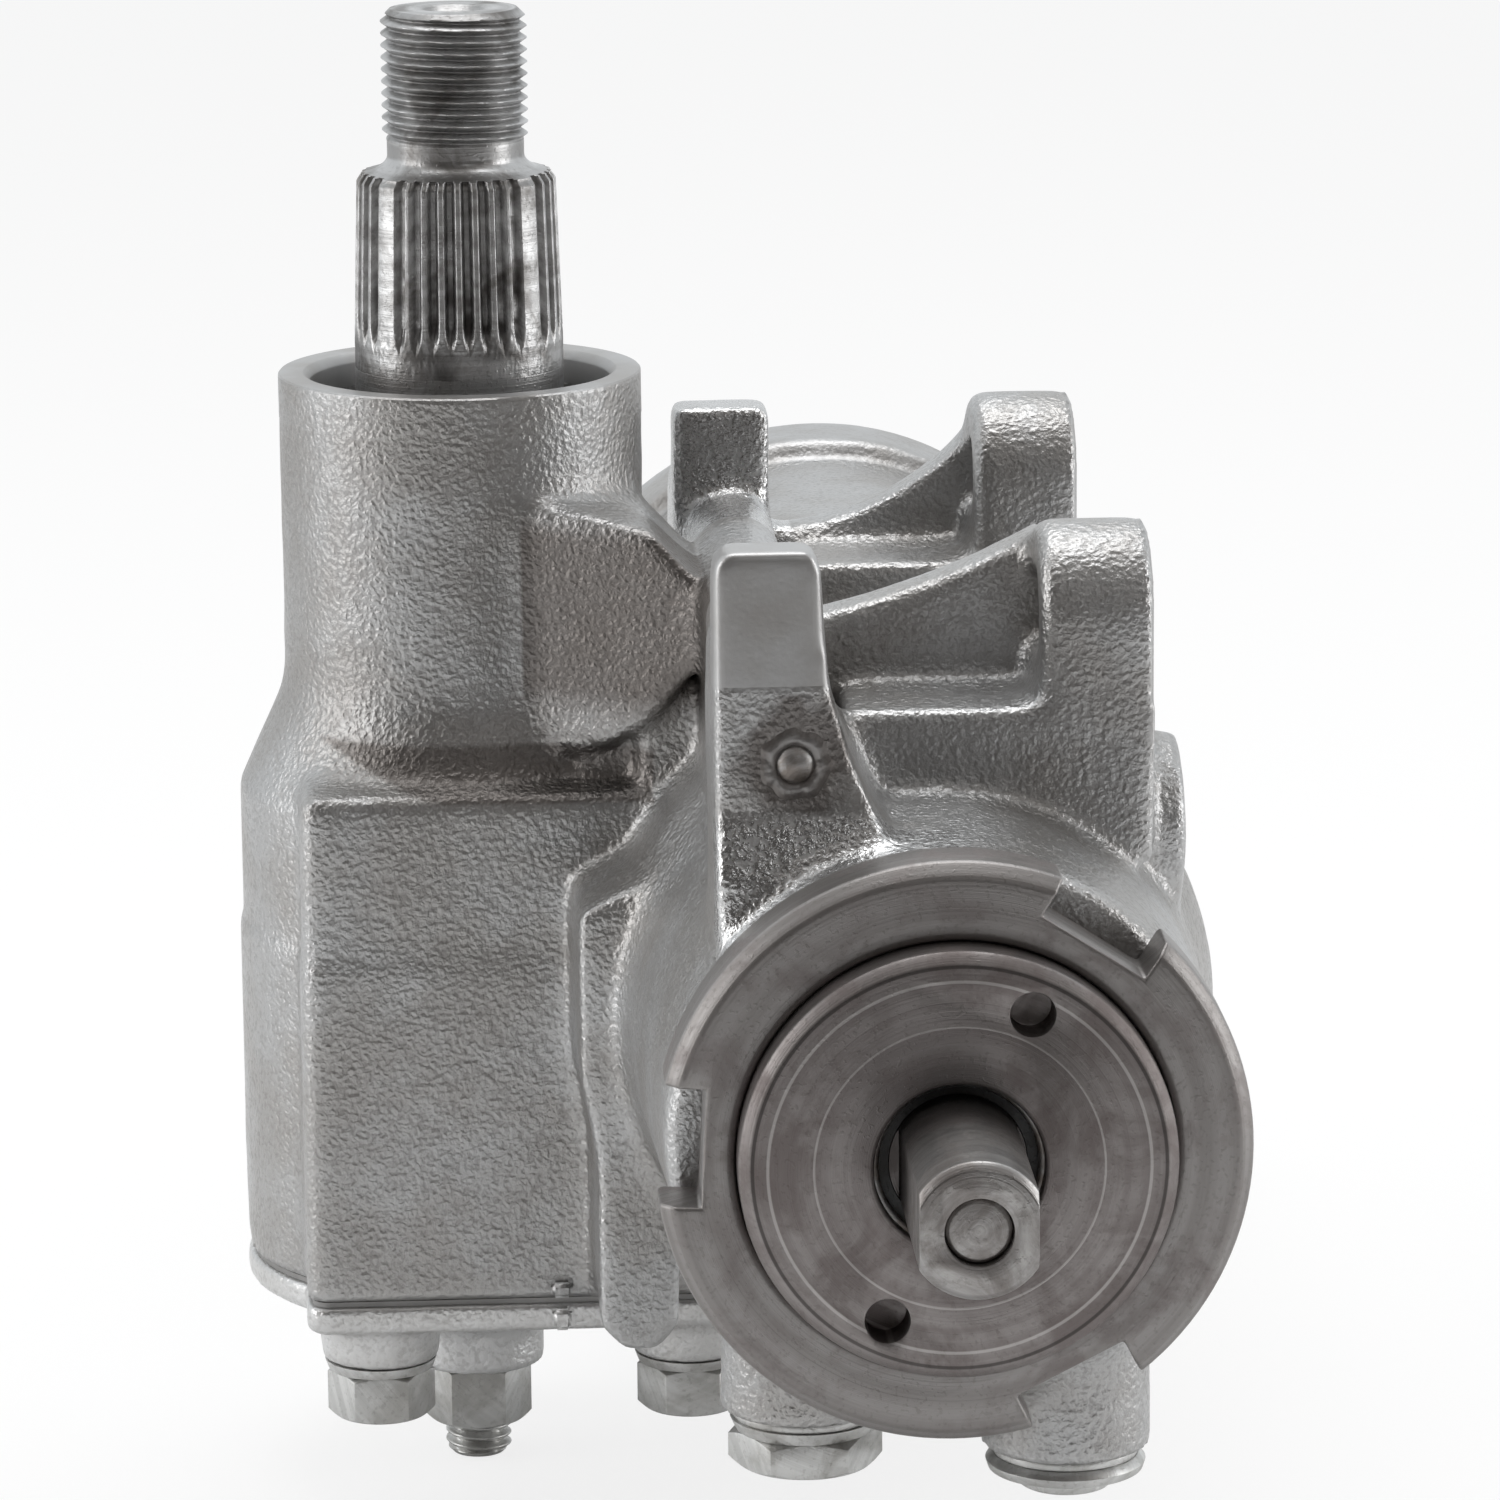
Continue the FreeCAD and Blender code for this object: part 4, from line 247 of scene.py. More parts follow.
def cast_paint(name, bright, dark, depth):
    """Satin metallic paint over a sand-cast skin: rougher and darkened with painted shade in the pits, worn
    bright on the crests.
    """
    made, tree, shader = surface(name, "cast_paint", 0.88)
    smooth = attribute(tree, "milled")
    crest = attribute(tree, "crest")
    darkening = attribute(tree, "darkening")
    skin = put(tree, "ShaderNodeGroup", {}, node_tree=sand_skin)
    skin.inputs["Grain size"].default_value = 1500.0
    tree.links.new(smooth, skin.inputs["Smooth share"])
    hollows = skin.outputs["Hollows"]
    worn = blend_colour(tree, skin.outputs["Blotches"], dark, bright)
    # The pits are darkened in colour: painted shade.
    pit_shaded = blend_colour(tree, part_of(tree, hollows, 0.16), worn, (0.17, 0.155, 0.145, 1))
    edged = blend_colour(tree, part_of(tree, crest, 0.35), pit_shaded, (0.56, 0.56, 0.56, 1))
    # Darkened where the mesh's mask says: old oil round the ball, and painted shade on the housing's ledge
    # and gusset.
    stain_and_shade = blend_colour(tree, part_of(tree, darkening, 0.8), edged, (0.13, 0.115, 0.105, 1))
    tree.links.new(stain_and_shade, shader.inputs["Base Color"])
    matt = sum_of(tree, hollows, part_of(tree, smooth, 0.6))
    rough = sum_of(tree, 0.36, part_of(tree, matt, 0.16))
    tree.links.new(sum_of(tree, rough, part_of(tree, crest, 0.06), "SUBTRACT"), shader.inputs["Roughness"])
    bumped(tree, shader, skin.outputs["Height"], depth)
    return made


housing_paint = cast_paint("housing_cast_paint", (0.43, 0.43, 0.43, 1), (0.36, 0.35, 0.34, 1), 0.00016)


def lattice(points, size, seed):
    """Smooth random waves of one size, from -1 to 1, for the unevenness of a casting."""
    cell = points / size
    base = np.floor(cell).astype(np.int64)
    part = cell - base
    part = part * part * (3 - 2 * part)
    total = np.zeros(len(points))
    for corner in range(8):
        step = np.array([corner & 1, corner >> 1 & 1, corner >> 2 & 1])
        key = base + step
        primes = (73856093, 19349663, 83492791)
        mixed = key[:, 0] * primes[0] ^ key[:, 1] * primes[1] ^ key[:, 2] * primes[2] ^ seed * 2654435761
        mixed = (mixed ^ (mixed >> 13)) * 1274126177
        value = ((mixed ^ (mixed >> 16)) & 65535) / 32767.5 - 1
        share = np.where(step, part, 1 - part).prod(axis=1)
        total += share * value
    return total


def mesh_points(mesh):
    """The places of a mesh's points in metres."""
    flat = np.empty(len(mesh.vertices) * 3, dtype=np.float64)
    mesh.vertices.foreach_get("co", flat)
    return flat.reshape(-1, 3)


def edge_means(points, first, second, degree):
    """For each point, the mean of the points that an edge joins to it."""
    sums = [
        np.bincount(
            first, points[second, axis], len(points)
        ) + np.bincount(second, points[first, axis], len(points))
        for axis in range(3)
    ]
    return np.stack(sums, axis=1) / degree[:, None]


def point_normals(points, quads):
    """The outward way at each point of a mesh of quads."""
    across = points[quads[:, 2]] - points[quads[:, 0]]
    other = points[quads[:, 3]] - points[quads[:, 1]]
    face = np.cross(across, other)
    sums = [sum(np.bincount(
        quads[:, k], face[:, axis], len(points)
    ) for k in range(4)) for axis in range(3)]
    out = np.stack(sums, axis=1)
    return out / np.maximum(np.linalg.norm(out, axis=1), 1e-12)[:, None]


def in_gear(points):
    """Metres in the part's frame to millimetres from the worm's axis."""
    return points * 1000 + np.array(GEAR_DATUM)


def to_part(spots):
    """Millimetres from the worm's axis to metres in the part's frame."""
    return (spots - np.array(GEAR_DATUM)) / 1000


def add_piece(name, mesh, material, body):
    """Puts a mesh in the scene with its material, slot and body."""
    piece = bpy.data.objects.new(name, mesh)
    scene.collection.objects.link(piece)
    mesh.materials.clear()
    mesh.materials.append(material)
    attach(piece, body)
    return piece


def write_mask(mesh, label, values):
    """Stores one value for each point of a mesh."""
    layer = mesh.attributes.new(label, "FLOAT", "POINT")
    layer.data.foreach_set("value", values.astype(np.float32))


def block(work, low, high):
    """Adds one closed block between two corners in gear millimetres."""
    middle = (gear_point(*low) + gear_point(*high)) / 2
    extent = gear_point(*high) - gear_point(*low)
    for corner in bmesh.ops.create_cube(work, size=1)["verts"]:
        corner.co = Vector([middle[k] + corner.co[k] * extent[k] for k in range(3)])


def blocks(mesh, boxes):
    """Adds closed blocks to a mesh."""
    work = bmesh.new()
    work.from_mesh(mesh)
    for low, high in boxes:
        block(work, low, high)
    work.to_mesh(mesh)
    work.free()


def voxels(solid, size):
    """The outer skin of a closed mesh as even quads."""
    blank = bpy.data.objects.new("blank", solid)
    scene.collection.objects.link(blank)
    step = blank.modifiers.new("skin", "REMESH")
    step.mode = "VOXEL"
    step.voxel_size = size
    mesh = bpy.data.meshes.new_from_object(blank.evaluated_get(bpy.context.evaluated_depsgraph_get()))
    bpy.data.objects.remove(blank)
    return mesh


def sand_cast(node, name, voxel, kept, milled, fills, rounds, waves, added=(), taken=()):
    """The node's solid as a casting: corners filled, edges rounded and the skin uneven.
    kept and milled give, for places in millimetres, what stays sharp and what is smooth;
    added are blocks that the casting gains first, and taken are blocks cut down to their floor."""
    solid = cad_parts[node].data.copy()
    blocks(solid, added)
    mesh = voxels(solid, voxel)
    if taken:
        spots = in_gear(mesh_points(mesh))
        for low, high in taken:
            inside = ((spots > np.array(low)) & (spots < np.array(high))).all(axis=1)
            spots[inside, 2] = low[2]
        mesh.vertices.foreach_set("co", to_part(spots).ravel())
        mesh = voxels(mesh, voxel)
    mesh.name = name
    points = mesh_points(mesh)
    pairs = np.empty(len(mesh.edges) * 2, dtype=np.int32)
    mesh.edges.foreach_get("vertices", pairs)
    first, second = pairs[0::2], pairs[1::2]
    quads = np.empty(len(mesh.loops), dtype=np.int32)
    mesh.loops.foreach_get("vertex_index", quads)
    quads = quads.reshape(-1, 4)
    degree = np.bincount(first, minlength=len(points)) + np.bincount(second, minlength=len(points))
    free = 1 - kept(in_gear(points))
    for turn_count in range(fills):
        if turn_count % 6 == 0:
            normals = point_normals(points, quads)
        lift = ((edge_means(points, first, second, degree) - points) * normals).sum(axis=1)
        points = points + normals * (np.maximum(lift, 0) * 0.9 * free)[:, None]
    for turn_count in range(rounds):
        points = points + (edge_means(points, first, second, degree) - points) * (0.5 * free)[:, None]
    normals = point_normals(points, quads)
    bend = ((edge_means(points, first, second, degree) - points) * normals).sum(axis=1)
    bend = edge_means(np.repeat(bend[:, None], 3, axis=1), first, second, degree)[:, 0]
    crest = np.clip(-bend / (voxel * 0.09), 0, 1)
    flat = milled(in_gear(points))
    wave = sum(height * lattice(points, size, seed) for seed, (size, height) in enumerate(waves))
    points = points + normals * (wave * free * (1 - flat))[:, None]
    mesh.vertices.foreach_set("co", points.ravel())
    mesh.polygons.foreach_set("use_smooth", np.ones(len(mesh.polygons), dtype=bool))
    write_mask(mesh, "crest", crest)
    write_mask(mesh, "milled", flat)
    mesh.update()
    return mesh


SECTOR_X = -64.5
SECTOR_Y = 136.0
TUBE_CUT = 83.0


def near_sector(spots, radius):
    """What lies within a radius of the sector shaft's axis."""
    return (spots[:, 0] - SECTOR_X) ** 2 + (spots[:, 1] - SECTOR_Y) ** 2 < radius**2


def housing_kept(spots):
    """Bores, joint faces, ports and the room of the sector's teeth, which stay as machined."""
    x, y, z = spots.T
    bores = near_sector(spots, 23.4) & (z > 30)
    mouth = (x**2 + z**2 < 38**2) & (y < 14)
    deep = (x**2 + z**2 < 40**2) & (y > 296)
    cover_joint = (z < -48.6) & (x < -24) & (y > 90)
    pad_face = (x > 31.2) & (z > 47)
    ports = (y < 40) & (z < -41) & (x > -33)
    gear_room = near_sector(spots, 36.2) & (abs(y - SECTOR_Y) < 33.8) & (abs(z) < 24.5)
    return (bores | mouth | deep | cover_joint | pad_face | ports | gear_room).astype(float)


def housing_milled(spots):
    """How smooth the milled faces of the ears, the rear rim and the cover joint are."""
    x, y, z = spots.T
    ear_face = (x < -14) & (x > -34) & (y < 27) & (z > 61.5)
    pad_face = (x > 31.4) & (z > 47)
    rim = (y > 282) & (x**2 + z**2 > 30**2)
    joint = (z < -48.8) & (x < -24) & (y > 90)
    return np.maximum.reduce([ear_face * 0.9, pad_face * 0.9, rim * 0.6, joint * 1.0])


wall_under_gusset = (((-48, 106, 12), (-38, 125, 38)), ((-39, 101.5, 12), (-29, 125, 46)))
ear_tops_behind = (
    ((-40, 30, 66.3), (-14, 60, 90)),
    ((-40, 154.5, 66.3), (-14, 175, 90)),
    ((-40, 140, 79.4), (-14, 175, 90)),
)
housing_mesh = sand_cast(
    "gear_housing",
    "housing_casting",
    voxel=0.0008,
    kept=housing_kept,
    milled=housing_milled,
    fills=28,
    rounds=11,
    waves=((0.011, 0.00012), (0.0042, 0.00006)),
    added=wall_under_gusset,
    taken=ear_tops_behind,
)


def rise(values, low, high):
    """From 0 at low to 1 at high, in a straight line."""
    return np.clip((values - low) / (high - low), 0, 1)


def between(values, low, high):
    return (values > low) & (values < high)


# The foot of the front left ear leans forward, down to the locknut.
paint_spots = in_gear(mesh_points(housing_mesh))
at_x, at_y, at_z = paint_spots.T
foot_zone = between(at_x, -37, 6) & (at_y > 15) & (at_z > 24)
foot_drop = np.clip(44 - at_z, 0, 9) * rise(-at_y, -30, -22) * foot_zone
leaning = mesh_points(housing_mesh)
leaning[:, 1] -= foot_drop * 0.00034
housing_mesh.vertices.foreach_set("co", leaning.ravel())

# Old oil round the ball, painted shade on the ledge of the case and on the gusset, and a slightly darker
# tube.
from_ball = np.hypot(at_x + 20.5, (at_z - 52) * 0.85)
oil_reach = 9.5 + 2.2 * lattice(paint_spots, 3.0, 21) + 1.0 * lattice(paint_spots, 1.2, 22)
ball_oil = rise(oil_reach - from_ball, 0, 3) * (at_y < 24) * between(at_z, 44, 61)
# Painted shade on the ledge under the gusset.
ledge_low = 27.2 + 7.5 * rise(-at_x, 67, 87) ** 1.5
ledge_dark = rise(-at_z, -35.6, -34.9) * rise(at_z - ledge_low, 0, 0.7)
ledge_dark = ledge_dark * between(at_y, 94.3, 124) * between(at_x, -87, -37)
# Painted shade on the gusset's face.
gusset_shade = rise(-at_z, -71, -67) * rise(at_z, 38, 44) * between(at_x, -56, -29) * between(at_y, 80, 112)
tube_reach = np.hypot(at_x - SECTOR_X, at_y - SECTOR_Y)
tube_darker = rise(at_z, 30, 42) * rise(-tube_reach, -42, -38)
# One mask for old oil and painted shade together.
stain_and_shade = np.maximum.reduce([ball_oil, 0.95 * ledge_dark, 1.05 * gusset_shade, 0.12 * tube_darker])
write_mask(housing_mesh, "darkening", stain_and_shade)

# The crest mask is cleared along the case's brow and raised into a painted sheen on the front left ear's
# foot and on the rear left ear.
crest_layer = housing_mesh.attributes["crest"]
crest = np.empty(len(paint_spots), dtype=np.float32)
crest_layer.data.foreach_get("value", crest)
case_brow = (np.abs(at_z - 29) < 4) & (at_y < 104) & (at_x < -40)
front_foot = between(at_x, -36, 2) & (at_y < 26) & (at_z > 26)
rear_left = between(at_x, -36, -12) & (at_y > 126) & (at_z > 50)
painted_sheen = 2.4 * np.maximum(front_foot * rise(-at_z, -46, -41), rear_left)
crest_layer.data.foreach_set("value", np.maximum(crest * (1 - case_brow), painted_sheen).astype(np.float32))

trim = bmesh.new()
trim.from_mesh(housing_mesh)
low_cut = gear_point(SECTOR_X, SECTOR_Y, TUBE_CUT)
upper = [
    face
    for face in trim.faces
    if face.calc_center_median().z > low_cut.z and (face.calc_center_median() - low_cut).xy.length < 0.032
]
bmesh.ops.delete(trim, geom=upper, context="FACES")
trim.to_mesh(housing_mesh)
trim.free()
housing = add_piece("housing_casting", housing_mesh, housing_paint, "housing")


# Mouth of the sector tube. The top of the casting's tube is faced and bored: a flat rim, a
# small inside chamfer, then the bore with its ring groove; only the outside stays as cast.
def ring_faces(rings, around):
    """Quads between neighbouring rings of around points each."""
    return [
        (row * around + k, row * around + n, (row + 1) * around + n, (row + 1) * around + k)
        for row in range(rings - 1)
        for k, n in ((k, (k + 1) % around) for k in range(around))
    ]


def turned_profile(name, rows, centre, along, around=192):
    """A closed ring of mesh rows (radius, station, milled) about an axis through centre."""
    centre = Vector(centre)
    along = Vector(along).normalized()
    side = along.orthogonal().normalized()
    other = along.cross(side)
    angles = np.linspace(0, 2 * math.pi, around, endpoint=False)
    ring = np.cos(angles)[:, None] * np.array(side) + np.sin(angles)[:, None] * np.array(other)
    points = []
    for radius, station, _ in rows:
        points.append(np.array(centre + along * station) + ring * radius)
    points = np.concatenate(points)
    mesh = bpy.data.meshes.new(name)
    mesh.from_pydata(points.tolist(), [], ring_faces(len(rows), around))
    write_mask(mesh, "milled", np.repeat([row[2] for row in rows], around))
    write_mask(mesh, "crest", np.zeros(len(points)))
    return mesh


def finish_faces(mesh, angle=32):
    """Turns the faces outward, smooths them and keeps the edges that are sharper than angle."""
    work = bmesh.new()
    work.from_mesh(mesh)
    bmesh.ops.recalc_face_normals(work, faces=work.faces)
    work.to_mesh(mesh)
    work.free()
    mesh.polygons.foreach_set("use_smooth", np.ones(len(mesh.polygons), dtype=bool))
    mesh.set_sharp_from_angle(angle=math.radians(angle))
    mesh.update()


tube_rows = [(0.0277, (TUBE_CUT - 2 + 0.35 * k) / 1000, 0.0) for k in range(18)]
tube_rows += [
    (0.02768, 0.08745, 0.5), (0.02744, 0.0877, 1.0), (0.02405, 0.0877, 1.0), (0.0238, 0.0876, 1.0)
]
tube_rows += [(0.0229, 0.0866, 1.0), (0.0228, 0.0862, 1.0), (0.0228, 0.0815, 1.0)]
tube_axis = gear_point(SECTOR_X, SECTOR_Y, 0)
mouth_mesh = turned_profile("sector_tube_mouth", tube_rows, tube_axis, (0, 0, 1), 240)
mouth_points = mesh_points(mouth_mesh)
mouth_spots = in_gear(mouth_points)
outer = ~near_sector(mouth_spots, 27.6)
lean = (mouth_points - np.array(tube_axis)) * np.array([1, 1, 0])
lean /= np.linalg.norm(lean, axis=1)[:, None]
mouth_waves = ((0.011, 0.00016), (0.0042, 0.00007))
mouth_wave = sum(high * lattice(mouth_points, size, seed) for seed, (size, high) in enumerate(mouth_waves))
mouth_points += lean * (mouth_wave * outer)[:, None]
mouth_mesh.vertices.foreach_set("co", mouth_points.ravel())
finish_faces(mouth_mesh, 30)
mouth = add_piece("sector_tube_mouth", mouth_mesh, housing_paint, "housing")
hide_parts("gear_housing")
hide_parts("gear_housing")


# Steels. Turned faces carry fine rings about their axis, and every bare piece has some
# stain, dust and old oil; each piece sets its own centre, colours and depth.
turned_marks, marks_in, marks_out = new_group(
    "Turned marks",
    [("Centre", VECTOR, (0, 0, 0)), ("Axis", VECTOR, (0, 1, 0)), ("Rings", FLOAT, 2600.0)],
    [("Height", FLOAT), ("Streaks", FLOAT), ("Radius", FLOAT)],
)
marks_place = put(turned_marks, "ShaderNodeTexCoord").outputs["Object"]
marks_from = put(
    turned_marks, "ShaderNodeVectorMath", {0: marks_place, 1: marks_in.outputs["Centre"]},
    operation="SUBTRACT"
).outputs[0]
marks_along = put(
    turned_marks, "ShaderNodeVectorMath", {0: marks_from, 1: marks_in.outputs["Axis"]},
    operation="DOT_PRODUCT"
).outputs["Value"]
marks_line = put(
    turned_marks, "ShaderNodeVectorMath", {0: marks_in.outputs["Axis"], "Scale": marks_along},
    operation="SCALE"
).outputs[0]
marks_flat = put(
    turned_marks, "ShaderNodeVectorMath", {0: marks_from, 1: marks_line}, operation="SUBTRACT"
).outputs[0]
marks_radius = put(
    turned_marks, "ShaderNodeVectorMath", {0: marks_flat}, operation="LENGTH"
).outputs["Value"]
marks_step = sum_of(turned_marks, marks_radius, marks_along)
marks_fine = put(
    turned_marks,
    "ShaderNodeTexNoise",
    {"W": marks_step, "Scale": marks_in.outputs["Rings"], "Detail": 2.0, "Roughness": 0.7},
    noise_dimensions="1D",
).outputs[0]
marks_wide = put(
    turned_marks, "ShaderNodeTexNoise", {"W": marks_step, "Scale": 420.0, "Detail": 3.0},
    noise_dimensions="1D"
).outputs[0]
turned_marks.links.new(marks_fine, marks_out.inputs["Height"])
turned_marks.links.new(marks_radius, marks_out.inputs["Radius"])
turned_marks.links.new(ramp_between(turned_marks, marks_wide, 0.35, 0.65), marks_out.inputs["Streaks"])

old_oil, oil_in, oil_out = new_group(
    "Dust and old oil",
    [("Patch size", FLOAT, 90.0), ("Amount", FLOAT, 0.5)],
    [("Film", FLOAT), ("Specks", FLOAT)],
)
oil_place = put(old_oil, "ShaderNodeTexCoord").outputs["Object"]
oil_patches = put(
    old_oil,
    "ShaderNodeTexNoise",
    {
        "Vector": oil_place, "Scale": oil_in.outputs["Patch size"], "Detail": 6.0, "Roughness": 0.65,
        "Distortion": 0.6
    },
).outputs[0]
oil_dots = put(
    old_oil, "ShaderNodeTexNoise", {"Vector": oil_place, "Scale": 1500.0, "Detail": 2.0}
).outputs[0]
oil_edge = sum_of(old_oil, 0.75, sum_of(old_oil, oil_in.outputs["Amount"], 0.45, "MULTIPLY"), "SUBTRACT")
old_oil.links.new(
    ramp_between(
        old_oil, oil_patches, sum_of(old_oil, oil_edge, 0.12, "SUBTRACT"), sum_of(old_oil, oil_edge, 0.1)
    ),
    oil_out.inputs["Film"],
)
old_oil.links.new(ramp_between(old_oil, oil_dots, 0.55, 0.7), oil_out.inputs["Specks"])


def steel(
    name, slot, bright, dark, darkening, centre=(0, 0, 0), axis=(0, 1, 0), film=0.45, rough=0.34, depth=0.00003
):
    """Machined steel with turning rings, streaks of tone and an oil film in patches."""
    made, tree, shader = surface(name, slot, 0.92)
    marks = put(tree, "ShaderNodeGroup", {}, node_tree=turned_marks)
    marks.inputs["Centre"].default_value = tuple(gear_point(*centre))
    marks.inputs["Axis"].default_value = axis
    oil = put(tree, "ShaderNodeGroup", {}, node_tree=old_oil)
    oil.inputs["Amount"].default_value = film
    toned = blend_colour(tree, marks.outputs["Streaks"], dark, bright)
    filmed = blend_colour(tree, sum_of(tree, oil.outputs["Film"], 0.7, "MULTIPLY"), toned, darkening)
    dotted = blend_colour(
        tree, sum_of(tree, oil.outputs["Specks"], 0.18, "MULTIPLY"), filmed, (0.1, 0.09, 0.08, 1)
    )
    tree.links.new(dotted, shader.inputs["Base Color"])
    tree.links.new(
        sum_of(tree, rough, sum_of(tree, oil.outputs["Film"], 0.14, "MULTIPLY")), shader.inputs["Roughness"]
    )
    height = sum_of(tree, marks.outputs["Height"], sum_of(tree, oil.outputs["Specks"], 0.5, "MULTIPLY"))
    bumped(tree, shader, height, depth)
    return made


def overlay(made, share, colour):
    """Lays one more colour over what a material shows, where share says."""
    tree = made.node_tree
    shown = tree.nodes["Principled BSDF"].inputs["Base Color"]
    tree.links.new(blend_colour(tree, share, shown.links[0].from_socket, colour), shown)


inner_steel = steel(
    "inner_ground_steel", "internal_steel", (0.5, 0.5, 0.5, 1), (0.4, 0.4, 0.4, 1), (0.16, 0.12, 0.09, 1)
)
cover_steel = steel(
    "plain_zinc_steel", "machined_steel", (0.6, 0.6, 0.59, 1), (0.5, 0.5, 0.49, 1), (0.36, 0.35, 0.33, 1)
)

black_rubber, rubber_tree, rubber_shader = surface("black_seal_rubber", "seal_rubber", 0.0)
rubber_oil = put(rubber_tree, "ShaderNodeGroup", {}, node_tree=old_oil)
rubber_tone = blend_colour(
    rubber_tree, rubber_oil.outputs["Film"], (0.012, 0.012, 0.012, 1), (0.03, 0.028, 0.026, 1)
)
rubber_tree.links.new(rubber_tone, rubber_shader.inputs["Base Color"])
rubber_tree.links.new(
    ramp_between(rubber_tree, rubber_oil.outputs["Film"], 0.0, 1.0, 0.42, 0.6),
    rubber_shader.inputs["Roughness"]
)
bumped(rubber_tree, rubber_shader, rubber_oil.outputs["Specks"], 0.00003)

seat_brass = steel(
    "seat_brass", "seat_brass", (0.72, 0.52, 0.24, 1), (0.62, 0.43, 0.19, 1), (0.3, 0.2, 0.1, 1)
)
gasket_paper, gasket_tree, gasket_shader = surface("gasket_fibre", "gasket", 0.0)
gasket_skin = put(gasket_tree, "ShaderNodeGroup", {}, node_tree=sand_skin)
gasket_tone = blend_colour(
    gasket_tree, gasket_skin.outputs["Blotches"], (0.26, 0.255, 0.25, 1), (0.36, 0.355, 0.35, 1)
)
gasket_tree.links.new(gasket_tone, gasket_shader.inputs["Base Color"])
gasket_tree.links.new(
    ramp_between(gasket_tree, gasket_skin.outputs["Hollows"], 0.0, 1.0, 0.6, 0.8),
    gasket_shader.inputs["Roughness"]
)


def wear_material(node, material):
    """Gives a CAD node that keeps its own shape its finish."""
    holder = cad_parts[node]
    if not holder.material_slots:
        holder.data.materials.append(material)
    for place in holder.material_slots:
        place.material = material


def cut_node(node, level, side):
    """A copy of a CAD node without what lies past a level, above it for 1 and below for -1."""
    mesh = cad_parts[node].data.copy()
    work = bmesh.new()
    work.from_mesh(mesh)
    bmesh.ops.bisect_plane(
        work,
        geom=work.verts[:] + work.edges[:] + work.faces[:],
        plane_co=gear_point(0, 0, level),
        plane_no=(0, 0, side),
        clear_outer=True,
    )
    work.to_mesh(mesh)
    work.free()
    return mesh


def eased(node, name, material, body, width, segments=2, angle=35):
    """A copy of a CAD node with its sharp edges broken by a small bevel."""
    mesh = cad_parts[node].data.copy()
    mesh.name = name
    work = bmesh.new()
    work.from_mesh(mesh)
    bmesh.ops.remove_doubles(work, verts=work.verts, dist=0.000004)
    bmesh.ops.dissolve_limit(
        work, angle_limit=math.radians(1.0), verts=work.verts, edges=work.edges,
        use_dissolve_boundaries=False
    )
    work.to_mesh(mesh)
    work.free()
    piece = bpy.data.objects.new(name, mesh)
    scene.collection.objects.link(piece)
    soften = piece.modifiers.new("broken_edges", "BEVEL")
    soften.width = width
    soften.segments = segments
    soften.limit_method = "ANGLE"
    soften.angle_limit = math.radians(angle)
    soften.use_clamp_overlap = True
    soften.harden_normals = False
    shaped = bpy.data.meshes.new_from_object(piece.evaluated_get(bpy.context.evaluated_depsgraph_get()))
    bpy.data.objects.remove(piece)
    shaped.name = name
    for layer in list(shaped.attributes):
        if layer.name == "custom_normal":
            shaped.attributes.remove(layer)
    finish_faces(shaped, 40)
    made = add_piece(name, shaped, material, body)
    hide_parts(node)
    return made


# Oil passage ball. A steel ball driven into the drilled passage in the front left ear; the
# iron round it is staked over with a punch, which leaves a ragged raised collar.
ball_spot = (-20.5, 20.0, 50.9)
wear_material("oil_passage_ball", inner_steel)
stake_around = 72
stake_angles = np.linspace(0, 2 * math.pi, stake_around, endpoint=False)
lobes = 0.5 + 0.35 * np.cos(7 * stake_angles + 0.6) + 0.15 * np.cos(12 * stake_angles)
stake_rings = ((2.5, -0.5, 0.0), (2.9, 0.35, 0.1), (3.6, 0.5, 0.3), (4.4, 0.3, 0.6), (5.1, -0.25, 0.9))
stake_points = []
for reach, lift, ragged in stake_rings:
    for angle, lobe in zip(stake_angles, lobes):
        far = reach + ragged * (lobe - 0.4)
        out = lift * (0.55 + 0.45 * lobe)
        stake_points.append(
            gear_point(
                ball_spot[0] + far * math.cos(angle), ball_spot[1] - out,
                ball_spot[2] + far * math.sin(angle)
            )
        )
stake_mesh = bpy.data.meshes.new("staked_collar")
stake_mesh.from_pydata(
    [tuple(point) for point in stake_points], [], ring_faces(len(stake_rings), stake_around)
)
write_mask(stake_mesh, "milled", np.full(len(stake_points), 0.6))
write_mask(stake_mesh, "crest", np.repeat((0.0, 0.3, 0.5, 0.0, 0.0), stake_around))
write_mask(stake_mesh, "darkening", np.repeat((1.0, 0.9, 0.6, 1.0, 1.0), stake_around))
finish_faces(stake_mesh, 60)
add_piece("staked_collar", stake_mesh, housing_paint, "housing")


# Worm, valve and piston. Ground and hardened steel pieces that stay inside the casting,
# with their bearings, seals and balls.
for node in (
    "worm_shaft",
    "valve_body",
    "valve_spool",
    "valve_drive_pin",
    "upper_thrust_bearing",
    "lower_thrust_bearing",
    "input_needle_bearing",
    "rack_piston",
    "piston_end_plug",
    "recirculating_balls",
    "ball_return_guide",
    "return_guide_clamp",
    "sector_bearing",
    "sector_seal_washer",
    "input_retaining_ring",
    "sector_retaining_ring",
    "dust_seal_washer",
):
    wear_material(node, inner_steel)
for node in (
    "valve_body_rings",
    "piston_ring",
    "worm_oil_damper",
    "sector_shaft_seal",
    "sector_dust_seal",
    "input_shaft_seal",
    "input_dust_seal",
    "adjuster_plug_seal",
    "rear_end_seal",
):
    wear_material(node, black_rubber)
wear_material("sector_bushing", seat_brass)
wear_material("port_seats", seat_brass)
wear_material("side_cover_gasket", gasket_paper)


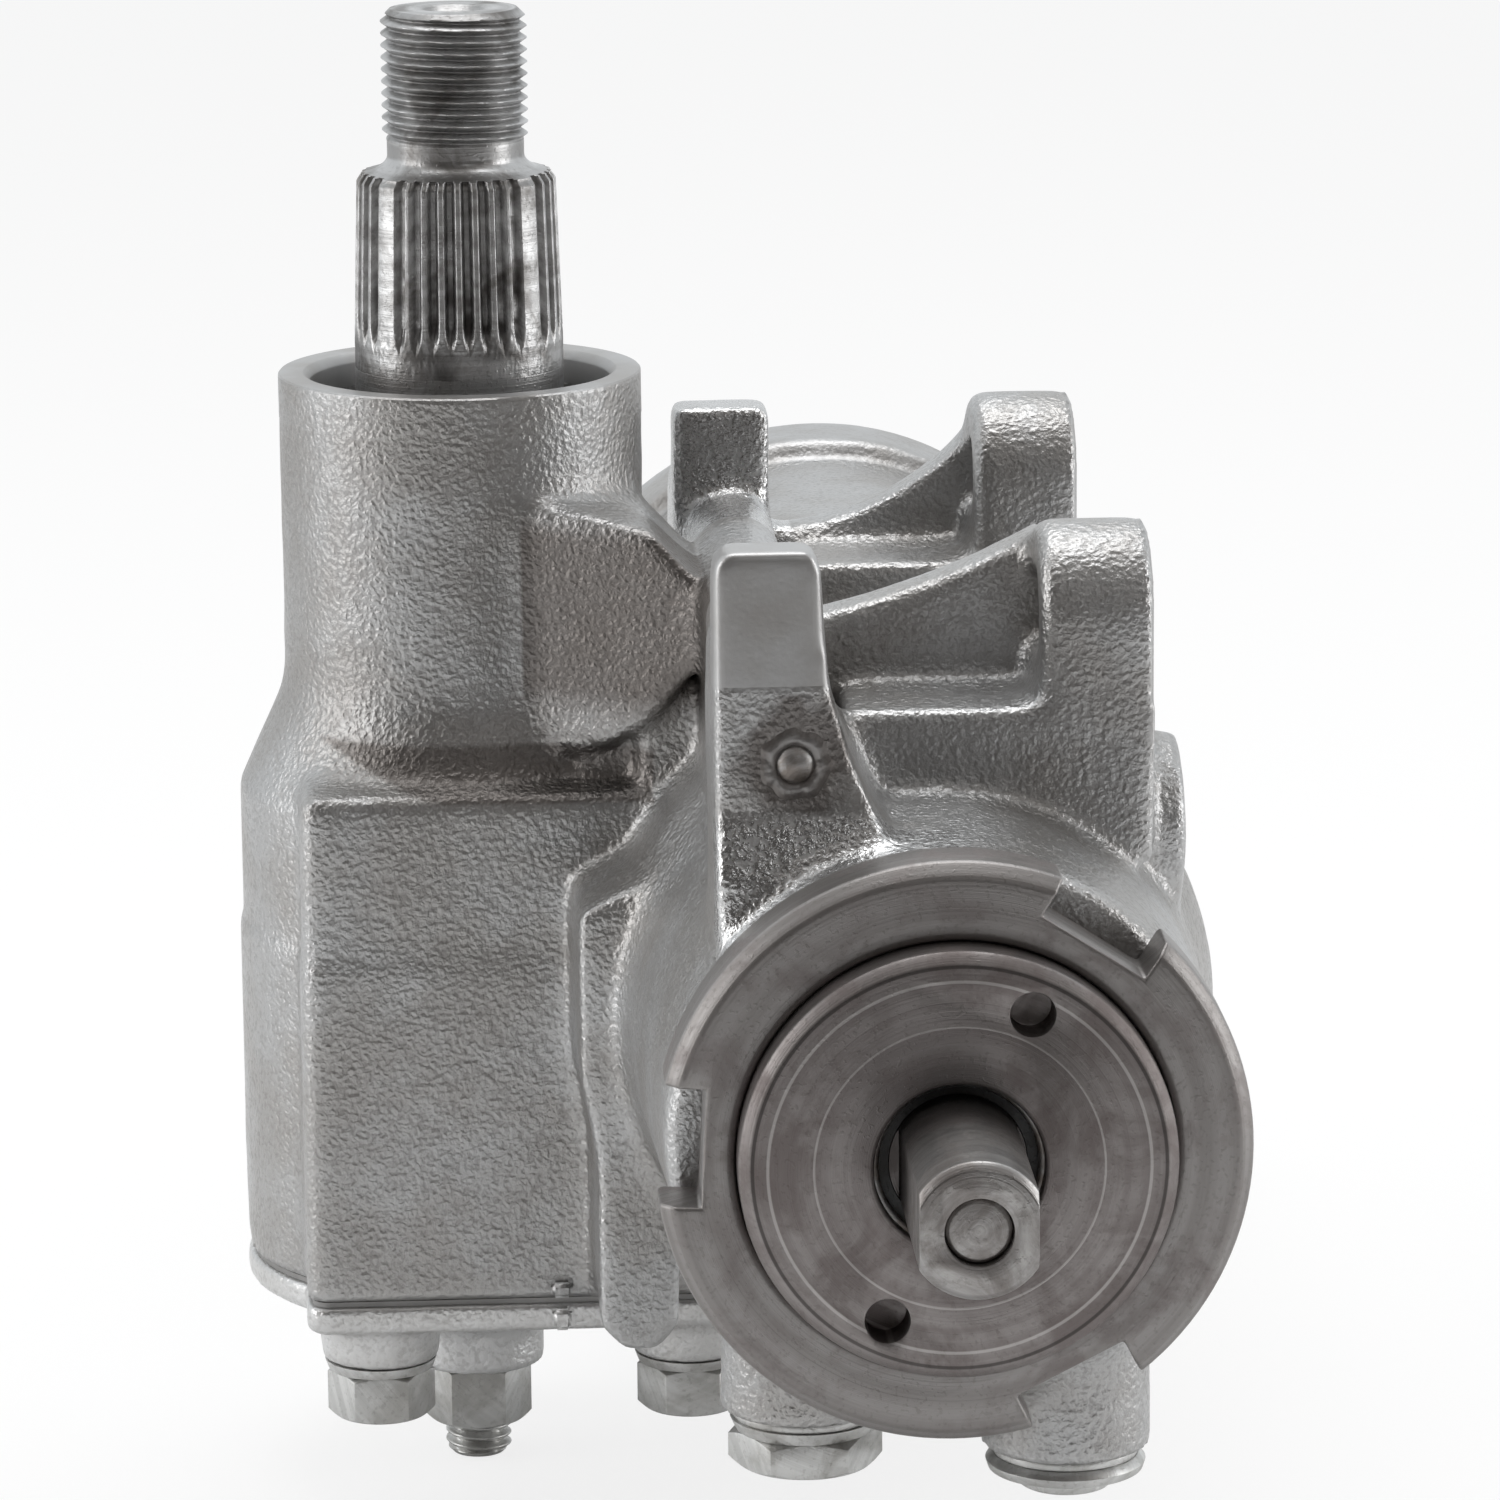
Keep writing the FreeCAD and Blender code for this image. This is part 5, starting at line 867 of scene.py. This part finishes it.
# Sector shaft. Forged and ground steel. Its top is turned down to a nut thread, a waisted
# neck and a tapered serration of 36 places with four left solid, which run out at the foot.
shaft_steel_skin = steel(
    "sector_shaft_steel",
    "shaft_steel",
    (0.5, 0.5, 0.5, 1),
    (0.36, 0.357, 0.355, 1),
    (0.1, 0.09, 0.08, 1),
    centre=(SECTOR_X, SECTOR_Y, 0),
    axis=(0, 0, 1),
    film=0.4,
    rough=0.3,
    depth=0.00004,
)
grime_tree = shaft_steel_skin.node_tree
grime_and_shade = attribute(grime_tree, "grime_and_shade")
# The mask darkens the shaft: dirt in the spline grooves and at the foot, painted shade in the thread roots.
overlay(shaft_steel_skin, grime_and_shade, (0.035, 0.03, 0.027, 1))
shaft_roughness = grime_tree.nodes["Principled BSDF"].inputs["Roughness"]
clean_rough = shaft_roughness.links[0].from_socket
grime_tree.links.new(sum_of(grime_tree, clean_rough, part_of(grime_tree, grime_and_shade, 0.25)), shaft_roughness)

SHAFT_JOIN = 88.4
SPLINE_LOW = 92.7
SPLINE_TOP = 117.7
THREAD_LOW = 122.9
SHAFT_TIP = 142.9
THREAD_PITCH = 25.4 / 14
THREAD_DEPTH = 1.1
THREAD_RADIUS = 11.1
NECK_RADIUS = 10.4
SPLINE_RADIUS = 15.9
SPLINE_TAPER = 0.8 / 25
SPLINE_COUNT = 36
SPLINES_LEFT_SOLID = (31, 4, 13, 22)
GROOVE_DEPTH = 1.05
around = 864
stations = np.concatenate(
    [
        np.linspace(SHAFT_JOIN, SPLINE_LOW - 2, 6),
        np.linspace(SPLINE_LOW - 1.6, SPLINE_LOW + 5, 26),
        np.linspace(SPLINE_LOW + 5.6, SPLINE_TOP - 1.4, 26),
        np.linspace(SPLINE_TOP - 1.2, SPLINE_TOP + 0.6, 12),
        np.linspace(SPLINE_TOP + 0.75, THREAD_LOW - 0.3, 16),
        np.linspace(THREAD_LOW - 0.15, SHAFT_TIP, 160),
    ]
)
turn_angles = np.linspace(0, 2 * math.pi, around, endpoint=False)
grid_z, grid_a = np.meshgrid(stations, turn_angles, indexing="ij")


def step_up(value, low, high):
    """From 0 at low to 1 at high, eased at both ends."""
    share = rise(value, low, high)
    return share * share * (3 - 2 * share)


taper = SPLINE_RADIUS - (np.clip(grid_z, SPLINE_LOW, SPLINE_TOP) - SPLINE_LOW) * SPLINE_TAPER
past_spline = rise(grid_z, SPLINE_TOP + 0.5, SPLINE_TOP + 3.1)
neck = NECK_RADIUS + 4.7 * (1 - np.sqrt(np.clip(1 - (1 - past_spline) ** 2, 0, 1)))
spline_end = taper - 0.7 * step_up(grid_z, SPLINE_TOP - 0.9, SPLINE_TOP + 0.5)
shoulder = np.where(grid_z < SPLINE_TOP + 0.5, spline_end, neck)
slot_place = (np.degrees(grid_a) + 90) % 360 * SPLINE_COUNT / 360
slot_number = np.floor(slot_place) % SPLINE_COUNT
in_slot = np.abs(slot_place - np.floor(slot_place) - 0.5) * 2
groove = 1 - step_up(in_slot, 0.22, 0.8)
blocked = np.isin(slot_number, SPLINES_LEFT_SOLID)
runout = step_up(grid_z - 2.4 * in_slot, SPLINE_LOW - 1.2, SPLINE_LOW + 3.4)
groove = groove * runout * (grid_z < SPLINE_TOP + 0.5) * ~blocked
radii = shoulder - GROOVE_DEPTH * groove
lead = ((grid_z - THREAD_LOW) / THREAD_PITCH + grid_a / (2 * math.pi)) % 1.0
ridge = 1 - np.clip((np.abs(lead - 0.5) * 2 - 0.06) / 0.82, 0, 1)
top_chamfer = rise(SHAFT_TIP - grid_z, 0, 1.5)
thread_radius = THREAD_RADIUS - THREAD_DEPTH * (1 - ridge)
thread_radius = np.minimum(thread_radius, 9.7 + 1.5 * top_chamfer)
in_thread = step_up(grid_z, THREAD_LOW - 0.1, THREAD_LOW + 1.2)
threaded = NECK_RADIUS + (thread_radius - NECK_RADIUS) * in_thread
radii = np.where(grid_z > THREAD_LOW - 0.1, threaded, radii)
shaft_points = np.stack(
    [SECTOR_X + radii * np.cos(grid_a), SECTOR_Y + radii * np.sin(grid_a), grid_z], axis=2
).reshape(-1, 3)
scars = 0.05 * lattice(shaft_points, 1.3, 5) + 0.04 * lattice(shaft_points, 0.6, 6)
foot = 1 - step_up(grid_z, SPLINE_LOW, SPLINE_LOW + 9)
nicks = (scars * (0.3 + 1.4 * foot.ravel())).reshape(grid_z.shape)
nicks = nicks + 0.16 * np.clip(lattice(shaft_points, 2.4, 7).reshape(grid_z.shape) - 0.45, 0, 1) * foot
radii = radii - np.abs(nicks) * (grid_z < SPLINE_TOP + 4)
shaft_points[:, 0] = (SECTOR_X + radii * np.cos(grid_a)).ravel()
shaft_points[:, 1] = (SECTOR_Y + radii * np.sin(grid_a)).ravel()
low_share = 1 - 0.65 * step_up(grid_z, SPLINE_LOW + 6, SPLINE_LOW + 16).ravel()
patches = np.clip(0.55 + 0.9 * lattice(shaft_points, 3.1, 8) + 0.5 * lattice(shaft_points, 1.1, 9), 0, 1)
dirt_and_shade = 0.9 * low_share * groove.ravel() * patches
dirt_and_shade = np.maximum(dirt_and_shade, 0.7 * (foot.ravel() * np.clip(lattice(shaft_points, 4.2, 10) + 0.1, 0, 1)))
# The thread roots are darkened: painted shade.
dirt_and_shade = np.maximum(dirt_and_shade, 0.4 * ((1 - ridge) * (grid_z > THREAD_LOW)).ravel() ** 1.5)
tip_rings = ((9.2, 142.9), (5.3, 142.9), (4.7, 142.6), (2.6, 139.6), (0.02, 138.0))
tip_points = [
    (SECTOR_X + radius * math.cos(angle), SECTOR_Y + radius * math.sin(angle), level)
    for radius, level in tip_rings
    for angle in turn_angles
]
all_points = np.vstack([shaft_points, np.array(tip_points)])
shaft_faces = ring_faces(len(stations) + len(tip_rings), around)
top_mesh = bpy.data.meshes.new("sector_shaft_top")
top_mesh.from_pydata(to_part(all_points).tolist(), [], shaft_faces)
write_mask(top_mesh, "grime_and_shade", np.concatenate([dirt_and_shade, np.full(len(tip_points), 0.1)]))
finish_faces(top_mesh, 50)
shaft_top = add_piece("sector_shaft_top", top_mesh, shaft_steel_skin, "sector")
shaft_lower = add_piece(
    "sector_shaft_lower", cut_node("sector_shaft", SHAFT_JOIN + 0.1, 1), shaft_steel_skin, "sector"
)
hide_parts("sector_shaft")
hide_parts("sector_shaft")


# Side cover. A smaller iron casting with four bolt pads and a boss for the adjuster, painted
# with the housing; its joint face is milled.
def cover_kept(spots):
    return (spots[:, 2] > -50.3).astype(float)


def cover_milled(spots):
    return np.zeros(len(spots))


cover_mesh = sand_cast(
    "side_cover",
    "side_cover_casting",
    voxel=0.0006,
    kept=cover_kept,
    milled=cover_milled,
    fills=12,
    rounds=4,
    waves=((0.009, 0.0001), (0.003, 0.00005)),
)
cover_paint = cast_paint("cover_cast_paint", (0.66, 0.66, 0.66, 1), (0.58, 0.575, 0.565, 1), 0.0001)
side_cover = add_piece("side_cover_casting", cover_mesh, cover_paint, "housing")
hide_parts("side_cover")


def cast_lug(name, low, high, material):
    """A small cast block with broken edges, between two corners in gear millimetres."""
    work = bmesh.new()
    block(work, low, high)
    bmesh.ops.bevel(work, geom=work.edges[:], offset=0.0007, segments=3, affect="EDGES")
    mesh = bpy.data.meshes.new(name)
    work.to_mesh(mesh)
    work.free()
    finish_faces(mesh, 60)
    return add_piece(name, mesh, material, "housing")


cover_front = SECTOR_Y - 36.5
cast_lug(
    "joint_lug_upper", (-53.6, cover_front - 2.2, -49.0), (-50.2, cover_front + 2, -46.6), housing_paint
)
cast_lug("joint_lug_lower", (-53.4, cover_front - 2.0, -54.2), (-50.4, cover_front + 2, -50.8), cover_paint)


# Cover bolts and lash adjuster. Flanged hexagon bolts and a locknut on a slotted stud,
# zinc plated and then overpainted with the casting.
for node, break_width in (("side_cover_bolts", 0.0008), ("lash_adjuster_nut", 0.0009)):
    eased(node, node + "_dressed", cover_steel, "housing", break_width)


# The stud's thread, with a screwdriver slot across its end.
STUD_TOP = -76.2
STUD_TIP = -85.3
STUD_PITCH = 1.6
STUD_AROUND = 96
stud_turns = np.linspace(0, 2 * math.pi, STUD_AROUND, endpoint=False)
stud_levels = np.linspace(STUD_TOP, STUD_TIP, 70)
stud_z, stud_a = np.meshgrid(stud_levels, stud_turns, indexing="ij")
stud_lead = (stud_z / STUD_PITCH + stud_a / (2 * math.pi)) % 1.0
stud_radius = 4.25 + 0.9 * np.clip(1.15 - np.abs(stud_lead - 0.5) * 2.3, 0, 1)
stud_radius = np.minimum(stud_radius, 4.0 + np.clip(stud_z - STUD_TIP, 0, 1.2))
cap_radius = np.repeat(np.array([3.4, 2.6, 1.7, 0.9, 0.02])[:, None], STUD_AROUND, axis=1)
cap_a = np.repeat(stud_turns[None, :], len(cap_radius), axis=0)
cap_z = STUD_TIP + 2.2 * (np.abs(cap_radius * np.sin(cap_a)) < 0.85)
stud_radius = np.vstack([stud_radius, cap_radius])
stud_a = np.vstack([stud_a, cap_a])
stud_z = np.vstack([stud_z, cap_z])
stud_x = SECTOR_X + stud_radius * np.cos(stud_a)
stud_y = SECTOR_Y + stud_radius * np.sin(stud_a)
stud_points = np.stack([stud_x, stud_y, stud_z], axis=2)
stud_mesh = bpy.data.meshes.new("lash_adjuster_thread")
stud_mesh.from_pydata(
    to_part(stud_points.reshape(-1, 3)).tolist(), [], ring_faces(len(stud_z), STUD_AROUND)
)
finish_faces(stud_mesh, 50)
stud_thread = add_piece("lash_adjuster_thread", stud_mesh, cover_steel, "housing")
stud_upper = add_piece(
    "lash_adjuster_upper", cut_node("lash_adjuster_screw", STUD_TOP - 0.1, -1), cover_steel, "housing"
)
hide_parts("lash_adjuster_screw")
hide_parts("lash_adjuster_screw")


# Adjuster plug. Turned steel with two drilled spanner holes, dark with oil that has bled
# out round the input shaft.
plug_steel = steel(
    "plug_turned_steel",
    "machined_steel",
    (0.265, 0.247, 0.24, 1),
    (0.22, 0.2, 0.195, 1),
    (0.17, 0.145, 0.14, 1),
    film=0.5,
    rough=0.4,
)
plug_tree = plug_steel.node_tree
plug_marks = [node for node in plug_tree.nodes if node.type == "GROUP" and node.node_tree == turned_marks][0]
for ring_radius, half_width, ring_tone in (
    (0.0199, 0.00022, (0.42, 0.4, 0.39, 1)),
    (0.0262, 0.0003, (0.46, 0.44, 0.43, 1)),
    (0.0283, 0.00035, (0.05, 0.045, 0.043, 1)),
):
    off_ring = sum_of(plug_tree, plug_marks.outputs["Radius"], ring_radius, "SUBTRACT")
    off_size = put(plug_tree, "ShaderNodeMath", {0: off_ring}, operation="ABSOLUTE").outputs[0]
    on_ring = ramp_between(plug_tree, off_size, half_width, half_width * 0.4)
    overlay(plug_steel, part_of(plug_tree, on_ring, 0.75), ring_tone)
eased("adjuster_plug", "adjuster_plug_dressed", plug_steel, "housing", 0.0003)


# Locknut. A thin ring nut, turned from plate with three spanner notches and painted.
nut_steel = steel(
    "locknut_steel",
    "machined_steel",
    (0.29, 0.277, 0.27, 1),
    (0.24, 0.227, 0.22, 1),
    (0.22, 0.195, 0.19, 1),
    film=0.4,
    rough=0.42,
)
eased("adjuster_locknut", "adjuster_locknut_dressed", nut_steel, "housing", 0.0017, 4)


# Input shaft and torsion bar. Ground steel with two flats, and the pinned end of the
# torsion bar in its bore.
stub_steel = steel(
    "input_shaft_steel",
    "shaft_steel",
    (0.42, 0.41, 0.4, 1),
    (0.31, 0.3, 0.295, 1),
    (0.15, 0.13, 0.12, 1),
    film=0.5,
    rough=0.3,
)
stub_tree = stub_steel.node_tree
stub_place = put(stub_tree, "ShaderNodeTexCoord").outputs["Object"]
stub_depth = put(stub_tree, "ShaderNodeSeparateXYZ", {0: stub_place}).outputs["Y"]
# Darkened towards the shaft's root in the plug's bore: painted shade in the bore, and old oil.
overlay(stub_steel, ramp_between(stub_tree, stub_depth, -0.137, -0.12, 0.0, 0.85), (0.06, 0.052, 0.05, 1))
eased("stub_shaft", "stub_shaft_dressed", stub_steel, "input_shaft", 0.0004)
eased("torsion_bar", "torsion_bar_dressed", stub_steel, "worm", 0.0003)


# Port fittings. A hexagon plug and a slotted cap on copper washers, zinc plated.
for node, break_width in (
    ("pressure_port_plug", 0.0008),
    ("return_port_cap", 0.0004),
    ("port_washer_left", 0.0002),
    ("port_washer_right", 0.0002),
):
    eased(node, node + "_dressed", cover_steel, "housing", break_width)


# Rear end plug and its ring. Turned steel plug held in the barrel by a round-section ring.
eased("rear_end_plug", "rear_end_plug_dressed", nut_steel, "housing", 0.0005)
eased("rear_retaining_ring", "rear_retaining_ring_dressed", cover_steel, "housing", 0.0002)
